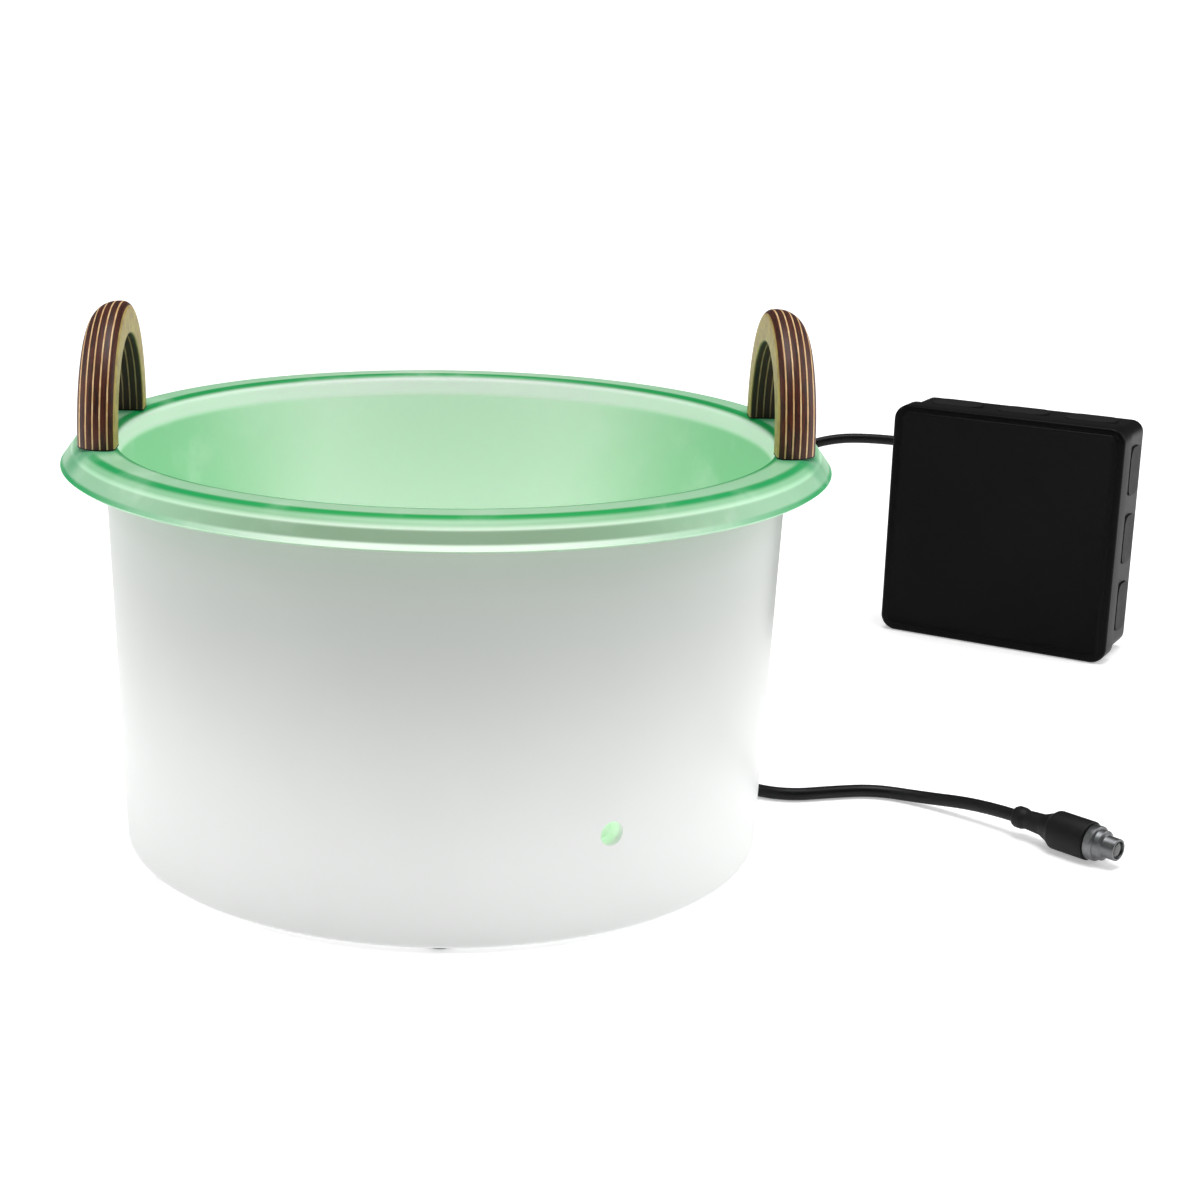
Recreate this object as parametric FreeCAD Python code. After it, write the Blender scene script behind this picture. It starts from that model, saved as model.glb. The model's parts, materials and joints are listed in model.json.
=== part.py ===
import FreeCAD, Part
import math
import os

# Pedicure foot bath: a translucent bowl with two wooden handles, lifted out of an opaque drum, and a
# light head on a lead from a wall-type supply box. Millimetres, +Z up, origin on the bath's axis at the
# floor, +X towards the supply box's side, -Y towards the sitter.

V = FreeCAD.Vector
ORIGIN = V(0, 0, 0)
UP = V(0, 0, 1)
RIGHT = V(1, 0, 0)
BACK = V(0, 1, 0)

# Running gap between pieces of different bodies, and the distance below which two places are one.
BODY_GAP = 0.3
CONTACT = 1e-4
NEARLY_ONE = 0.99

# Drum
FOOT_HEIGHT = 2.0
FOOT_RADIUS = 8.0
FOOT_PEG_RADIUS = 2.5
FOOT_CIRCLE_RADIUS = 178.0
FOOT_COUNT = 6
CENTRE_FOOT_RADIUS = 20.0
DRUM_TOP = 232.0
DRUM_BASE_RADIUS = 191.5
DRUM_TOP_RADIUS = 199.5
DRUM_WALL = 4.0
DRUM_EDGE_RADIUS = 3.0
DRUM_LEDGE_INNER_RADIUS = 168.0
DRUM_LEDGE_THICKNESS = 4.0
BASE_PLATE_THICKNESS = 3.0
BASE_PLATE_RADIUS = 184.0
BASE_SCREW_CIRCLE_RADIUS = 176.0
BASE_SCREW_RADIUS = 2.0
BASE_SCREW_HEAD_RADIUS = 4.0
BASE_SCREW_HEAD_DEPTH = 2.2

# Rim ring between drum and bowl
RING_INNER_RADIUS = 195.8
RING_TONGUE = 1.2
RING_TONGUE_DEPTH = 4.0
RING_SLOPE = 2.0

# Bowl
SHEET = 3.5
FLANGE_TOP = 246.0
RIM_BEND_RADIUS = 5.5
RIM_BEND_CENTRE_RADIUS = 197.0
SHOULDER_START_RADIUS = 211.0
SHOULDER_BEND_RADIUS = 10.9
SKIRT_SLOPE = math.radians(54)
RIM_RADIUS = 225.0
WALL_DRAFT = math.radians(5.1)
BOWL_FLOOR = 38.0
BOWL_FILLET = 60.0

# Handles
HANDLE_INNER_X = 185.5
HANDLE_THICKNESS = 23.0
HANDLE_OUTER_RADIUS = 70.0
HANDLE_INNER_RADIUS = 51.0
HANDLE_ARCH_CENTRE = 250.0
HANDLE_OUTSIDE_ROUND = 16.0
HANDLE_INSIDE_ROUND = 5.0
HANDLE_SMALL_ROUND = 1.5
GASKET_THICKNESS = 0.8
HANDLE_SCREW_RADIUS = 2.5
HANDLE_SCREW_HOLE_RADIUS = 2.8
HANDLE_SCREW_HEAD_RADIUS = 4.5
HANDLE_SCREW_HEAD_HEIGHT = 3.2
HANDLE_SCREW_HEAD_CHAMFER = 0.8
HANDLE_SCREW_DRIVE_RADIUS = 1.5
HANDLE_SCREW_DRIVE_DEPTH = 1.8
HANDLE_SCREW_LENGTH = 14.0
WASHER_RADIUS = 5.0
WASHER_HOLE_RADIUS = 2.6
WASHER_THICKNESS = 1.0
INSERT_RADIUS = 4.0
INSERT_LENGTH = 12.0
INSERT_HOLE_LENGTH = 14.0

# Light port
PORT_AZIMUTH = math.radians(28.3)
PORT_HEIGHT = 61.5
PORT_RADIUS = 7.0
PORT_CUP_RADIUS = 10.0
PORT_CUP_DEPTH = 8.0
PORT_WINDOW = 1.5
PORT_FLANGE_RADIUS = 15.0
PORT_FLANGE_THICKNESS = 2.5

# Light head, from its cord end to its tip
HEAD_START = V(352.5, -7.5, 12)
HEAD_DIRECTION = V(0.655, -0.756, 0).normalize()
SLEEVE_COLLAR_RADIUS = 6.8
SLEEVE_NECK_RADIUS = 5.9
SLEEVE_LENGTH = 22.0
BODY_START = 28.0
BODY_END = 54.0
BODY_RADIUS = 12.0
COLLAR_RADIUS = 10.8
COLLAR_END = 60.0
SHOULDER_RADIUS = 9.2
SHOULDER_END = 64.0
NOSE_RADIUS = 6.8
NOSE_END = 72.5
HEAD_CORE_RADIUS = 8.5
HEAD_CORE_START = 34.0
WIRE_BORE_RADIUS = 2.5
LENS_RADIUS = 5.4
LENS_LENGTH = 5.0
LENS_SETBACK = 0.6
LENS_BEVEL = 0.8
LED_BOARD_THICKNESS = 1.6
LED_CHIP_SIDE = 3.5
LED_CHIP_HEIGHT = 1.0
HEAD_WIRE_RADIUS = 0.9
HEAD_WIRE_OFFSET = 1.2

# Supply box: its own axes are across the face, into the depth and up.
BOX_CORNER = V(353, 440, 0)
BOX_YAW = 32.0
BOX_WIDTH = 182.0
BOX_HEIGHT = 184.0
BOX_DEPTH = 62.0
BOX_CORNER_RADIUS = 12.0
BOX_WALL = 2.5
BASE_BACK_ROUND = 2.0
LID_DEPTH = 20.0
LID_FACE = 3.0
LID_EDGE_ROUND = 3.0
LID_PANEL_INSET = 5.0
LID_PANEL_HEIGHT = 0.8
LID_PANEL_ROUND = 0.7
LID_PANEL_CORNER_RADIUS = 8.0
LID_OVERLAP = 2.0
LID_SKIRT = 2.4
LID_LEDGE = 6.0
LID_LEDGE_DEPTH = 16.2
SEAL_WIDTH = 2.4
SEAL_HEIGHT = 1.5
PAD_WIDTH = 26.0
PAD_LENGTH = 38.0
PAD_HEIGHT = 1.4
PAD_CORNER_RADIUS = 8.5
PAD_HOLE_RADIUS = 8.0
PAD_CENTRES = (38.0, 92.0, 146.0)
PAD_DEPTH_CENTRE = 41.0
WALL_HOLE_SPACING = 130.0
WALL_HOLE_RADIUS = 2.6
POST_RADIUS = 4.0
POST_LENGTH = 6.0
POST_SPACING = 100.0
PLATE_SIDE = 116.0
PLATE_THICKNESS = 1.5
PLATE_CORNER_RADIUS = 6.0
PLATE_SCREW_RADIUS = 1.6
PLATE_SCREW_HEAD_RADIUS = 3.2
PLATE_SCREW_HOLD = 5.0
INNER_SCREW_HEAD_HEIGHT = 2.0
DRIVER_LEFT = 48.0
DRIVER_BOTTOM = 84.0
DRIVER_WIDTH = 86.0
DRIVER_DEPTH = 26.0
DRIVER_HEIGHT = 58.0
DRIVER_ROUND = 2.0
RIB_MARGIN = 6.0
RIB_GROOVES = 9
RIB_GROOVE_WIDTH = 3.0
RIB_GROOVE_DEPTH = 2.0
TERMINAL_LEFT = 46.0
TERMINAL_BOTTOM = 36.0
TERMINAL_WIDTH = 14.0
TERMINAL_DEPTH = 18.0
TERMINAL_PITCH = 11.0
TERMINAL_COUNT = 4
TERMINAL_WELL_RADIUS = 2.4
TERMINAL_WELL_DEPTH = 6.0
TERMINAL_SCREW_RADIUS = 2.3
TERMINAL_SCREW_LENGTH = 4.0
CLAMP_GAP = 6.0
CLAMP_WIDTH = 9.0
CLAMP_HEIGHT = 30.0
CLAMP_COVER = 7.0
CLAMP_SCREW_OFFSET = 10.0
CLAMP_SCREW_RADIUS = 1.5
CLAMP_SCREW_HEAD_RADIUS = 3.0
CLAMP_SCREW_LENGTH = 12.0
LEAD_TAIL_LENGTH = 26.0
WIRE_RADIUS = 1.1
WIRE_END_GAP = 0.05

# Cord
CORD_RADIUS = 4.0
CORD_CLEARANCE = 0.05
CORD_REST = 4.1
CORD_TURNS = 4
COIL_CENTRE = V(127, 300, 0)
COIL_INNER_TURN = 38.0
COIL_OUTER_TURN = 46.0
HEAD_BORE_DEPTH = 12.0
STRAIGHT_BEFORE_BOOT = 22.0
ARC_SHARE = 0.45
COIL_ROUND = 3.5
TIE_WIDTH = 12.0
TIE_THICKNESS = 1.2

# The lead from the supply box down to its coil on the floor, and from the coil round the drum to the head.
BOX_LEAD_ROUTE = [
    V(350.4, 490, 146),
    V(314, 502, 143),
    V(277, 503, 129),
    V(247, 493, 105),
    V(226, 474, 75),
    V(212, 449, 45),
    V(200, 416, 20),
    V(188.5, 378, 9.5),
    V(177.5, 338, 11),
]
HEAD_LEAD_ROUTE = [
    V(175, 255, CORD_REST),
    V(182, 212, CORD_REST),
    V(188, 170, CORD_REST),
    V(188, 134, CORD_REST),
    V(184.5, 103, CORD_REST),
    V(184, 76, CORD_REST),
    V(198, 53, CORD_REST),
    V(222, 43.5, CORD_REST),
    V(250, 50.5, CORD_REST),
    V(278, 55, CORD_REST),
    V(305, 41, 4.8),
]


def export(name, shape):
    shape.exportStep("parts/" + name + ".step")


def closed_wire(start, steps, place):
    """A closed outline from start; a step is an end point, or a point on an arc and the arc's end point.

    The last end is joined back to start by a line, unless it is already there.
    """
    last_end = steps[-1][1] if isinstance(steps[-1][0], tuple) else steps[-1]
    closing = [] if math.dist(last_end, start) < CONTACT else [start]
    edges = []
    here = start
    for step in steps + closing:
        through, end = step if isinstance(step[0], tuple) else (None, step)
        if through:
            edge = Part.Arc(place(*here), place(*through), place(*end))
        else:
            edge = Part.LineSegment(place(*here), place(*end))
        edges.append(edge.toShape())
        here = end
    return Part.Wire(edges)


def turned(start, steps):
    """A solid of revolution about the bath's axis from a half-section of (radius, height)."""
    section = Part.Face(closed_wire(start, steps, lambda r, z: V(r, 0, z)))
    return section.revolve(ORIGIN, UP, 360)


def turned_along(start, steps):
    """A solid of revolution about +X from a half-section of (distance along the axis, radius)."""
    section = Part.Face(closed_wire(start, steps, lambda x, r: V(x, 0, r)))
    return section.revolve(ORIGIN, RIGHT, 360)


def polar(centre, radius, angle):
    return (centre[0] + radius * math.cos(angle), centre[1] + radius * math.sin(angle))


def on_circle(radius, count, height=0.0, start=0.0):
    """Evenly spaced places at one height on a circle about the bath's axis."""
    angles = [start + 2 * math.pi * k / count for k in range(count)]
    return [V(*polar((0, 0), radius, angle), height) for angle in angles]


def rod(radius, length, base, direction=UP):
    return Part.makeCylinder(radius, length, base, direction)


def fused(shapes):
    return shapes[0].multiFuse(shapes[1:]).removeSplitter() if len(shapes) > 1 else shapes[0]


# ---------------------------------------------------------------- drum


def drum_outer_radius(height):
    return DRUM_BASE_RADIUS + (DRUM_TOP_RADIUS - DRUM_BASE_RADIUS) * height / DRUM_TOP


def port_axis():
    """Unit vector from the bath's axis out through the light port."""
    return V(math.sin(PORT_AZIMUTH), -math.cos(PORT_AZIMUTH), 0)


def port_point(radius):
    return port_axis() * radius + UP * PORT_HEIGHT


def groove_section(bottom):
    """The ring's tongue and the groove it sits in, as radii and heights."""
    inner = RING_INNER_RADIUS + RING_TONGUE
    outer = inner + RING_TONGUE
    return (inner, bottom), [(outer, bottom), (outer, DRUM_TOP), (inner, DRUM_TOP)]


def drum_shell():
    """Tapered wall with a rounded foot edge and an inward ledge that carries the base plate."""
    bottom = FOOT_HEIGHT
    ledge_top = bottom + DRUM_LEDGE_THICKNESS
    outer_bottom = drum_outer_radius(bottom + DRUM_EDGE_RADIUS)
    edge_centre = (outer_bottom - DRUM_EDGE_RADIUS, bottom + DRUM_EDGE_RADIUS)
    start = (DRUM_LEDGE_INNER_RADIUS, bottom)
    steps = [
        (edge_centre[0], bottom),
        (polar(edge_centre, DRUM_EDGE_RADIUS, -math.pi / 4), (outer_bottom, edge_centre[1])),
        (DRUM_TOP_RADIUS, DRUM_TOP),
        (DRUM_TOP_RADIUS - DRUM_WALL, DRUM_TOP),
        (drum_outer_radius(ledge_top) - DRUM_WALL, ledge_top),
        (DRUM_LEDGE_INNER_RADIUS, ledge_top),
    ]
    shell = turned(start, steps).cut(turned(*groove_section(DRUM_TOP - RING_TONGUE_DEPTH)))
    port = rod(PORT_RADIUS, 4 * DRUM_WALL, port_point(DRUM_TOP_RADIUS - 3 * DRUM_WALL), port_axis())
    holes = [rod(FOOT_PEG_RADIUS, DRUM_LEDGE_THICKNESS, p) for p in foot_places()]
    holes += [base_screw(p) for p in base_screw_places()]
    return shell.cut(Part.makeCompound([port] + holes))


def foot_places():
    return on_circle(FOOT_CIRCLE_RADIUS, FOOT_COUNT, FOOT_HEIGHT, math.pi / 2)


def base_screw_places():
    halfway = math.pi / FOOT_COUNT
    return on_circle(BASE_SCREW_CIRCLE_RADIUS, FOOT_COUNT, FOOT_HEIGHT, math.pi / 2 + halfway)


def base_screw(place):
    """Countersunk screw, flush with the ledge's underside."""
    head = Part.makeCone(BASE_SCREW_HEAD_RADIUS, BASE_SCREW_RADIUS, BASE_SCREW_HEAD_DEPTH, place)
    shank = rod(BASE_SCREW_RADIUS, DRUM_LEDGE_THICKNESS + BASE_PLATE_THICKNESS, place)
    return head.fuse(shank)


def base_plate():
    bottom = FOOT_HEIGHT + DRUM_LEDGE_THICKNESS
    plate = rod(BASE_PLATE_RADIUS, BASE_PLATE_THICKNESS, V(0, 0, bottom))
    return plate.cut(Part.makeCompound([base_screw(p) for p in base_screw_places()]))


def drum_foot(place):
    pad = rod(FOOT_RADIUS, FOOT_HEIGHT, V(place.x, place.y, 0))
    peg = rod(FOOT_PEG_RADIUS, DRUM_LEDGE_THICKNESS, place)
    return pad.fuse(peg)


def centre_foot():
    """Pad under the middle of the base plate, which carries the weight of the water above it."""
    return rod(CENTRE_FOOT_RADIUS, FOOT_HEIGHT + DRUM_LEDGE_THICKNESS, ORIGIN)


def rim_ring():
    """Soft ring on the drum's top edge, a gap below the bowl's flange."""
    top = FLANGE_TOP - SHEET - BODY_GAP
    outer = DRUM_TOP_RADIUS
    inner = RING_INNER_RADIUS
    start = (inner, DRUM_TOP)
    steps = [(outer, DRUM_TOP), (outer, top), (RIM_BEND_CENTRE_RADIUS, top), (inner, top - RING_SLOPE)]
    tongue = turned(*groove_section(DRUM_TOP - RING_TONGUE_DEPTH))
    return turned(start, steps).fuse(tongue).removeSplitter()


def drum_cavity(clearance):
    """Everything inside the drum's wall, kept clear of it."""
    top = DRUM_TOP_RADIUS - DRUM_WALL - clearance
    bottom = drum_outer_radius(0) - DRUM_WALL - clearance
    return Part.makeCone(bottom, top, DRUM_TOP)


def port_cup():
    """Translucent cup behind the port: a flange bonded to the wall, a short socket and a closed end."""
    mouth = drum_outer_radius(PORT_HEIGHT) - DRUM_WALL
    reach = PORT_CUP_DEPTH + PORT_WINDOW
    tube = rod(PORT_CUP_RADIUS, reach + DRUM_WALL, port_point(mouth - reach), port_axis())
    flange_start = port_point(mouth - PORT_FLANGE_THICKNESS)
    flange = rod(PORT_FLANGE_RADIUS, PORT_FLANGE_THICKNESS + DRUM_WALL, flange_start, port_axis())
    bore_start = port_point(mouth - PORT_CUP_DEPTH)
    bore = rod(PORT_RADIUS, PORT_CUP_DEPTH + 2 * DRUM_WALL, bore_start, port_axis())
    return tube.fuse(flange).common(drum_cavity(CORD_CLEARANCE)).cut(bore)


# ---------------------------------------------------------------- bowl


def bowl():
    """One formed sheet: floor, large fillet, drafted wall, flange, rounded shoulder, skirt and cut edge."""
    bend = (RIM_BEND_CENTRE_RADIUS, FLANGE_TOP - RIM_BEND_RADIUS)
    wall_normal = math.pi - WALL_DRAFT
    bend_middle = (wall_normal + math.pi / 2) / 2
    fillet_z = BOWL_FLOOR + BOWL_FILLET
    wall_top = polar(bend, RIM_BEND_RADIUS, wall_normal)
    wall_at_fillet = wall_top[0] - (wall_top[1] - fillet_z) * math.tan(WALL_DRAFT)
    fillet = (wall_at_fillet - BOWL_FILLET / math.cos(WALL_DRAFT), fillet_z)
    fillet_end = -WALL_DRAFT
    fillet_middle = (fillet_end - math.pi / 2) / 2
    shoulder = (SHOULDER_START_RADIUS, FLANGE_TOP - SHOULDER_BEND_RADIUS)
    shoulder_end = math.pi / 2 - SKIRT_SLOPE
    shoulder_middle = (math.pi / 2 + shoulder_end) / 2
    skirt_top = polar(shoulder, SHOULDER_BEND_RADIUS, shoulder_end)
    skirt_drop = (RIM_RADIUS - skirt_top[0]) * math.tan(SKIRT_SLOPE)
    skirt_end = (RIM_RADIUS, skirt_top[1] - skirt_drop)
    cut_end = (skirt_end[0] - SHEET * math.sin(SKIRT_SLOPE), skirt_end[1] - SHEET * math.cos(SKIRT_SLOPE))
    inner_bend = RIM_BEND_RADIUS - SHEET
    inner_shoulder = SHOULDER_BEND_RADIUS - SHEET
    outer_fillet = BOWL_FILLET + SHEET
    start = (0, BOWL_FLOOR)
    steps = [
        (fillet[0], BOWL_FLOOR),
        (polar(fillet, BOWL_FILLET, fillet_middle), polar(fillet, BOWL_FILLET, fillet_end)),
        wall_top,
        (polar(bend, RIM_BEND_RADIUS, bend_middle), (bend[0], FLANGE_TOP)),
        (SHOULDER_START_RADIUS, FLANGE_TOP),
        (polar(shoulder, SHOULDER_BEND_RADIUS, shoulder_middle), skirt_top),
        skirt_end,
        cut_end,
        polar(shoulder, inner_shoulder, shoulder_end),
        (polar(shoulder, inner_shoulder, shoulder_middle), (shoulder[0], FLANGE_TOP - SHEET)),
        (bend[0], FLANGE_TOP - SHEET),
        (polar(bend, inner_bend, bend_middle), polar(bend, inner_bend, wall_normal)),
        polar(fillet, outer_fillet, fillet_end),
        (polar(fillet, outer_fillet, fillet_middle), (fillet[0], BOWL_FLOOR - SHEET)),
        (0, BOWL_FLOOR - SHEET),
    ]
    below = UP * (1.5 * SHEET)
    holes = [rod(HANDLE_SCREW_HOLE_RADIUS, 2 * SHEET, p - below) for p in foot_screw_places()]
    return turned(start, steps).cut(Part.makeCompound(holes))


# ---------------------------------------------------------------- handles


def foot_screw_places():
    x = HANDLE_INNER_X + HANDLE_THICKNESS / 2
    y = (HANDLE_INNER_RADIUS + HANDLE_OUTER_RADIUS) / 2
    return [V(side * x, end * y, FLANGE_TOP) for side in (-1, 1) for end in (-1, 1)]


def handle_section(side, place):
    """Handle cross-section: place turns (distance from the bath's axis, arch radius) into a point."""
    near = HANDLE_INNER_X
    far = HANDLE_INNER_X + HANDLE_THICKNESS
    low = HANDLE_INNER_RADIUS
    high = HANDLE_OUTER_RADIUS
    small = HANDLE_SMALL_ROUND
    inside = HANDLE_INSIDE_ROUND
    outside = HANDLE_OUTSIDE_ROUND
    diagonal = math.pi / 4
    start = (near + small, low)
    steps = [
        (far - small, low),
        (polar((far - small, low + small), small, -diagonal), (far, low + small)),
        (far, high - outside),
        (polar((far - outside, high - outside), outside, diagonal), (far - outside, high)),
        (near + inside, high),
        (polar((near + inside, high - inside), inside, 3 * diagonal), (near, high - inside)),
        (near, low + small),
        (polar((near + small, low + small), small, 5 * diagonal), (near + small, low)),
    ]
    return Part.Face(closed_wire(start, steps, lambda u, v: place(side * u, v)))


def handle_foot_prism(side, end, bottom, height):
    section = handle_section(side, lambda x, r: V(x, end * r, bottom))
    return section.extrude(V(0, 0, height))


def handle(side):
    """Half-round arch on two short straight legs, with a blind hole in each foot for its insert."""
    centre = V(0, 0, HANDLE_ARCH_CENTRE)
    section = handle_section(side, lambda x, r: V(x, -r, HANDLE_ARCH_CENTRE))
    arch = section.revolve(centre, RIGHT, -180)
    foot = FLANGE_TOP + GASKET_THICKNESS
    legs = [handle_foot_prism(side, end, foot, HANDLE_ARCH_CENTRE - foot) for end in (-1, 1)]
    whole = fused([arch] + legs)
    places = [p for p in foot_screw_places() if p.x * side > 0]
    holes = [rod(INSERT_RADIUS, INSERT_HOLE_LENGTH, V(p.x, p.y, foot)) for p in places]
    return whole.cut(Part.makeCompound(holes))


def foot_gasket(place):
    side = math.copysign(1, place.x)
    end = math.copysign(1, place.y)
    pad = handle_foot_prism(side, end, FLANGE_TOP, GASKET_THICKNESS)
    return pad.cut(rod(HANDLE_SCREW_HOLE_RADIUS, GASKET_THICKNESS, place))


def threaded_insert(place):
    bottom = place + UP * GASKET_THICKNESS
    return rod(INSERT_RADIUS, INSERT_LENGTH, bottom).cut(rod(HANDLE_SCREW_RADIUS, INSERT_LENGTH, bottom))


def screw_seat(place):
    """Under the washer below the bowl's flange."""
    return place - UP * (SHEET + WASHER_THICKNESS)


def washer(place):
    disc = rod(WASHER_RADIUS, WASHER_THICKNESS, screw_seat(place))
    return disc.cut(rod(WASHER_HOLE_RADIUS, WASHER_THICKNESS, screw_seat(place)))


def handle_screw(place):
    """Screw with a chamfered round head and a socket, up through the flange into the handle's insert."""
    bottom = screw_seat(place) - UP * HANDLE_SCREW_HEAD_HEIGHT
    head = rod(HANDLE_SCREW_HEAD_RADIUS, HANDLE_SCREW_HEAD_HEIGHT, bottom)
    lower_edge = [e for e in head.Edges if e.BoundBox.ZMax < bottom.z + CONTACT]
    head = head.makeChamfer(HANDLE_SCREW_HEAD_CHAMFER, lower_edge)
    shank = rod(HANDLE_SCREW_RADIUS, HANDLE_SCREW_LENGTH, screw_seat(place))
    return head.fuse(shank).cut(rod(HANDLE_SCREW_DRIVE_RADIUS, HANDLE_SCREW_DRIVE_DEPTH, bottom))


# ---------------------------------------------------------------- light head


def head_placed(shape):
    """Move a piece built along +X to the head's place on the floor."""
    turn = FreeCAD.Rotation(RIGHT, HEAD_DIRECTION)
    placed = shape.copy()
    placed.Placement = FreeCAD.Placement(HEAD_START, turn)
    return placed


def head_boot():
    """Two-step rubber boot: a collared sleeve on the cord and a thick body over the barrel."""
    start = (0, CORD_RADIUS)
    steps = [
        (0, SLEEVE_COLLAR_RADIUS - 1.6),
        (2, SLEEVE_COLLAR_RADIUS),
        (6, SLEEVE_COLLAR_RADIUS),
        (9, SLEEVE_NECK_RADIUS),
        (SLEEVE_LENGTH - 2, SLEEVE_NECK_RADIUS + 0.8),
        (BODY_START - 2, BODY_RADIUS - 3.2),
        ((BODY_START, BODY_RADIUS - 1.0), (BODY_START + 3, BODY_RADIUS)),
        (BODY_END - 1, BODY_RADIUS),
        ((BODY_END - 0.3, BODY_RADIUS - 0.3), (BODY_END, BODY_RADIUS - 1)),
        (BODY_END, HEAD_CORE_RADIUS),
        (HEAD_CORE_START, HEAD_CORE_RADIUS),
        (HEAD_CORE_START, WIRE_BORE_RADIUS),
        (HEAD_BORE_DEPTH, WIRE_BORE_RADIUS),
        (HEAD_BORE_DEPTH, CORD_RADIUS),
    ]
    return head_placed(turned_along(start, steps))


def head_barrel():
    """Metal barrel: a core inside the boot, a collar, a shoulder and the nose that enters the port."""
    pocket = chip_back() - LED_BOARD_THICKNESS
    start = (HEAD_CORE_START, WIRE_BORE_RADIUS)
    steps = [
        (HEAD_CORE_START, HEAD_CORE_RADIUS),
        (BODY_END, HEAD_CORE_RADIUS),
        (BODY_END, COLLAR_RADIUS),
        (COLLAR_END - 1, COLLAR_RADIUS),
        (COLLAR_END, SHOULDER_RADIUS),
        (SHOULDER_END - 0.8, SHOULDER_RADIUS),
        (SHOULDER_END, NOSE_RADIUS + 0.9),
        (SHOULDER_END + 1.2, NOSE_RADIUS),
        (NOSE_END - 0.6, NOSE_RADIUS),
        (NOSE_END, NOSE_RADIUS - 0.6),
        (NOSE_END, LENS_RADIUS),
        (pocket, LENS_RADIUS),
        (pocket, WIRE_BORE_RADIUS),
    ]
    return head_placed(turned_along(start, steps))


def head_lens():
    """Clear disc with a bevelled front edge, a little behind the nose's end."""
    end = NOSE_END - LENS_SETBACK
    back = end - LENS_LENGTH
    start = (back, 0)
    bevel = [(end - LENS_BEVEL, LENS_RADIUS), (end, LENS_RADIUS - LENS_BEVEL)]
    steps = [(back, LENS_RADIUS)] + bevel + [(end, 0)]
    return head_placed(turned_along(start, steps))


def chip_back():
    """Distance along the head to the front of the LED's board."""
    return NOSE_END - LENS_SETBACK - LENS_LENGTH - LED_CHIP_HEIGHT


def led_board():
    back = V(chip_back() - LED_BOARD_THICKNESS, 0, 0)
    return head_placed(rod(LENS_RADIUS, LED_BOARD_THICKNESS, back, RIGHT))


def led_chip():
    half = LED_CHIP_SIDE / 2
    corner = V(chip_back(), -half, -half)
    return head_placed(Part.makeBox(LED_CHIP_HEIGHT, LED_CHIP_SIDE, LED_CHIP_SIDE, corner))


def head_wires():
    """Two insulated wires through the core's bore, from the cord's end to the back of the board."""
    length = chip_back() - LED_BOARD_THICKNESS - HEAD_BORE_DEPTH
    sides = (-HEAD_WIRE_OFFSET, HEAD_WIRE_OFFSET)
    wires = [rod(HEAD_WIRE_RADIUS, length, V(HEAD_BORE_DEPTH, y, 0), RIGHT) for y in sides]
    return Part.makeCompound([head_placed(w) for w in wires])


# ---------------------------------------------------------------- supply box


def box_placement():
    return FreeCAD.Placement(BOX_CORNER, FreeCAD.Rotation(UP, -BOX_YAW))


def box_placed(shape):
    placed = shape.copy()
    placed.Placement = box_placement()
    return placed


def box_point(across, depth, height):
    return box_placement().multVec(V(across, depth, height))


def rounded_slab(inset, front, back, radius):
    """A block as wide and high as the box less an inset all round, its four long edges rounded."""
    width = BOX_WIDTH - 2 * inset
    height = BOX_HEIGHT - 2 * inset
    block = Part.makeBox(width, back - front, height, V(inset, front, inset))
    return block.makeFillet(radius, edges_along(block, BACK))


def edges_along(shape, direction):
    """The straight edges that run in a direction."""
    return [e for e in shape.Edges if abs(e.tangentAt(0).dot(direction)) > NEARLY_ONE]


def edges_at_depth(shape, depth):
    """The edges that lie in the plane at a depth into the box."""
    boxes = [(e, e.BoundBox) for e in shape.Edges]
    return [e for e, b in boxes if abs(b.YMin - depth) < CONTACT and abs(b.YMax - depth) < CONTACT]


def box_lid():
    """Press-on lid: rounded face with a raised panel, and a skirt that goes over the base's rim."""
    outer = rounded_slab(0, 0, LID_DEPTH, BOX_CORNER_RADIUS)
    outer = outer.makeFillet(LID_EDGE_ROUND, edges_at_depth(outer, 0))
    panel = rounded_slab(LID_PANEL_INSET, -LID_PANEL_HEIGHT, LID_PANEL_HEIGHT, LID_PANEL_CORNER_RADIUS)
    panel = panel.makeFillet(LID_PANEL_ROUND, edges_at_depth(panel, -LID_PANEL_HEIGHT))
    pocket = rounded_slab(LID_LEDGE, LID_FACE, LID_LEDGE_DEPTH, BOX_CORNER_RADIUS - LID_LEDGE)
    mouth = rounded_slab(LID_SKIRT, LID_LEDGE_DEPTH, LID_DEPTH, BOX_CORNER_RADIUS - LID_SKIRT)
    return box_placed(outer.fuse(panel).cut(pocket.fuse(mouth)))


def base_front():
    return LID_DEPTH - LID_OVERLAP


def base_inset():
    return LID_SKIRT + BODY_GAP


def pad_frames():
    """Each knock-out place on the box's four sides: its centre on the base's wall and its outward way."""
    inset = base_inset()
    frames = []
    for along in PAD_CENTRES:
        frames.append((V(inset, PAD_DEPTH_CENTRE, along), V(-1, 0, 0)))
        frames.append((V(BOX_WIDTH - inset, PAD_DEPTH_CENTRE, along), V(1, 0, 0)))
        across = along * BOX_WIDTH / BOX_HEIGHT
        frames.append((V(across, PAD_DEPTH_CENTRE, inset), V(0, 0, -1)))
        frames.append((V(across, PAD_DEPTH_CENTRE, BOX_HEIGHT - inset), V(0, 0, 1)))
    return frames


def is_grommet(frame):
    """The two places on the side nearest the bath that take cables: top and bottom."""
    centre, outward = frame
    return outward.x < 0 and centre.z != PAD_CENTRES[1]


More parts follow.
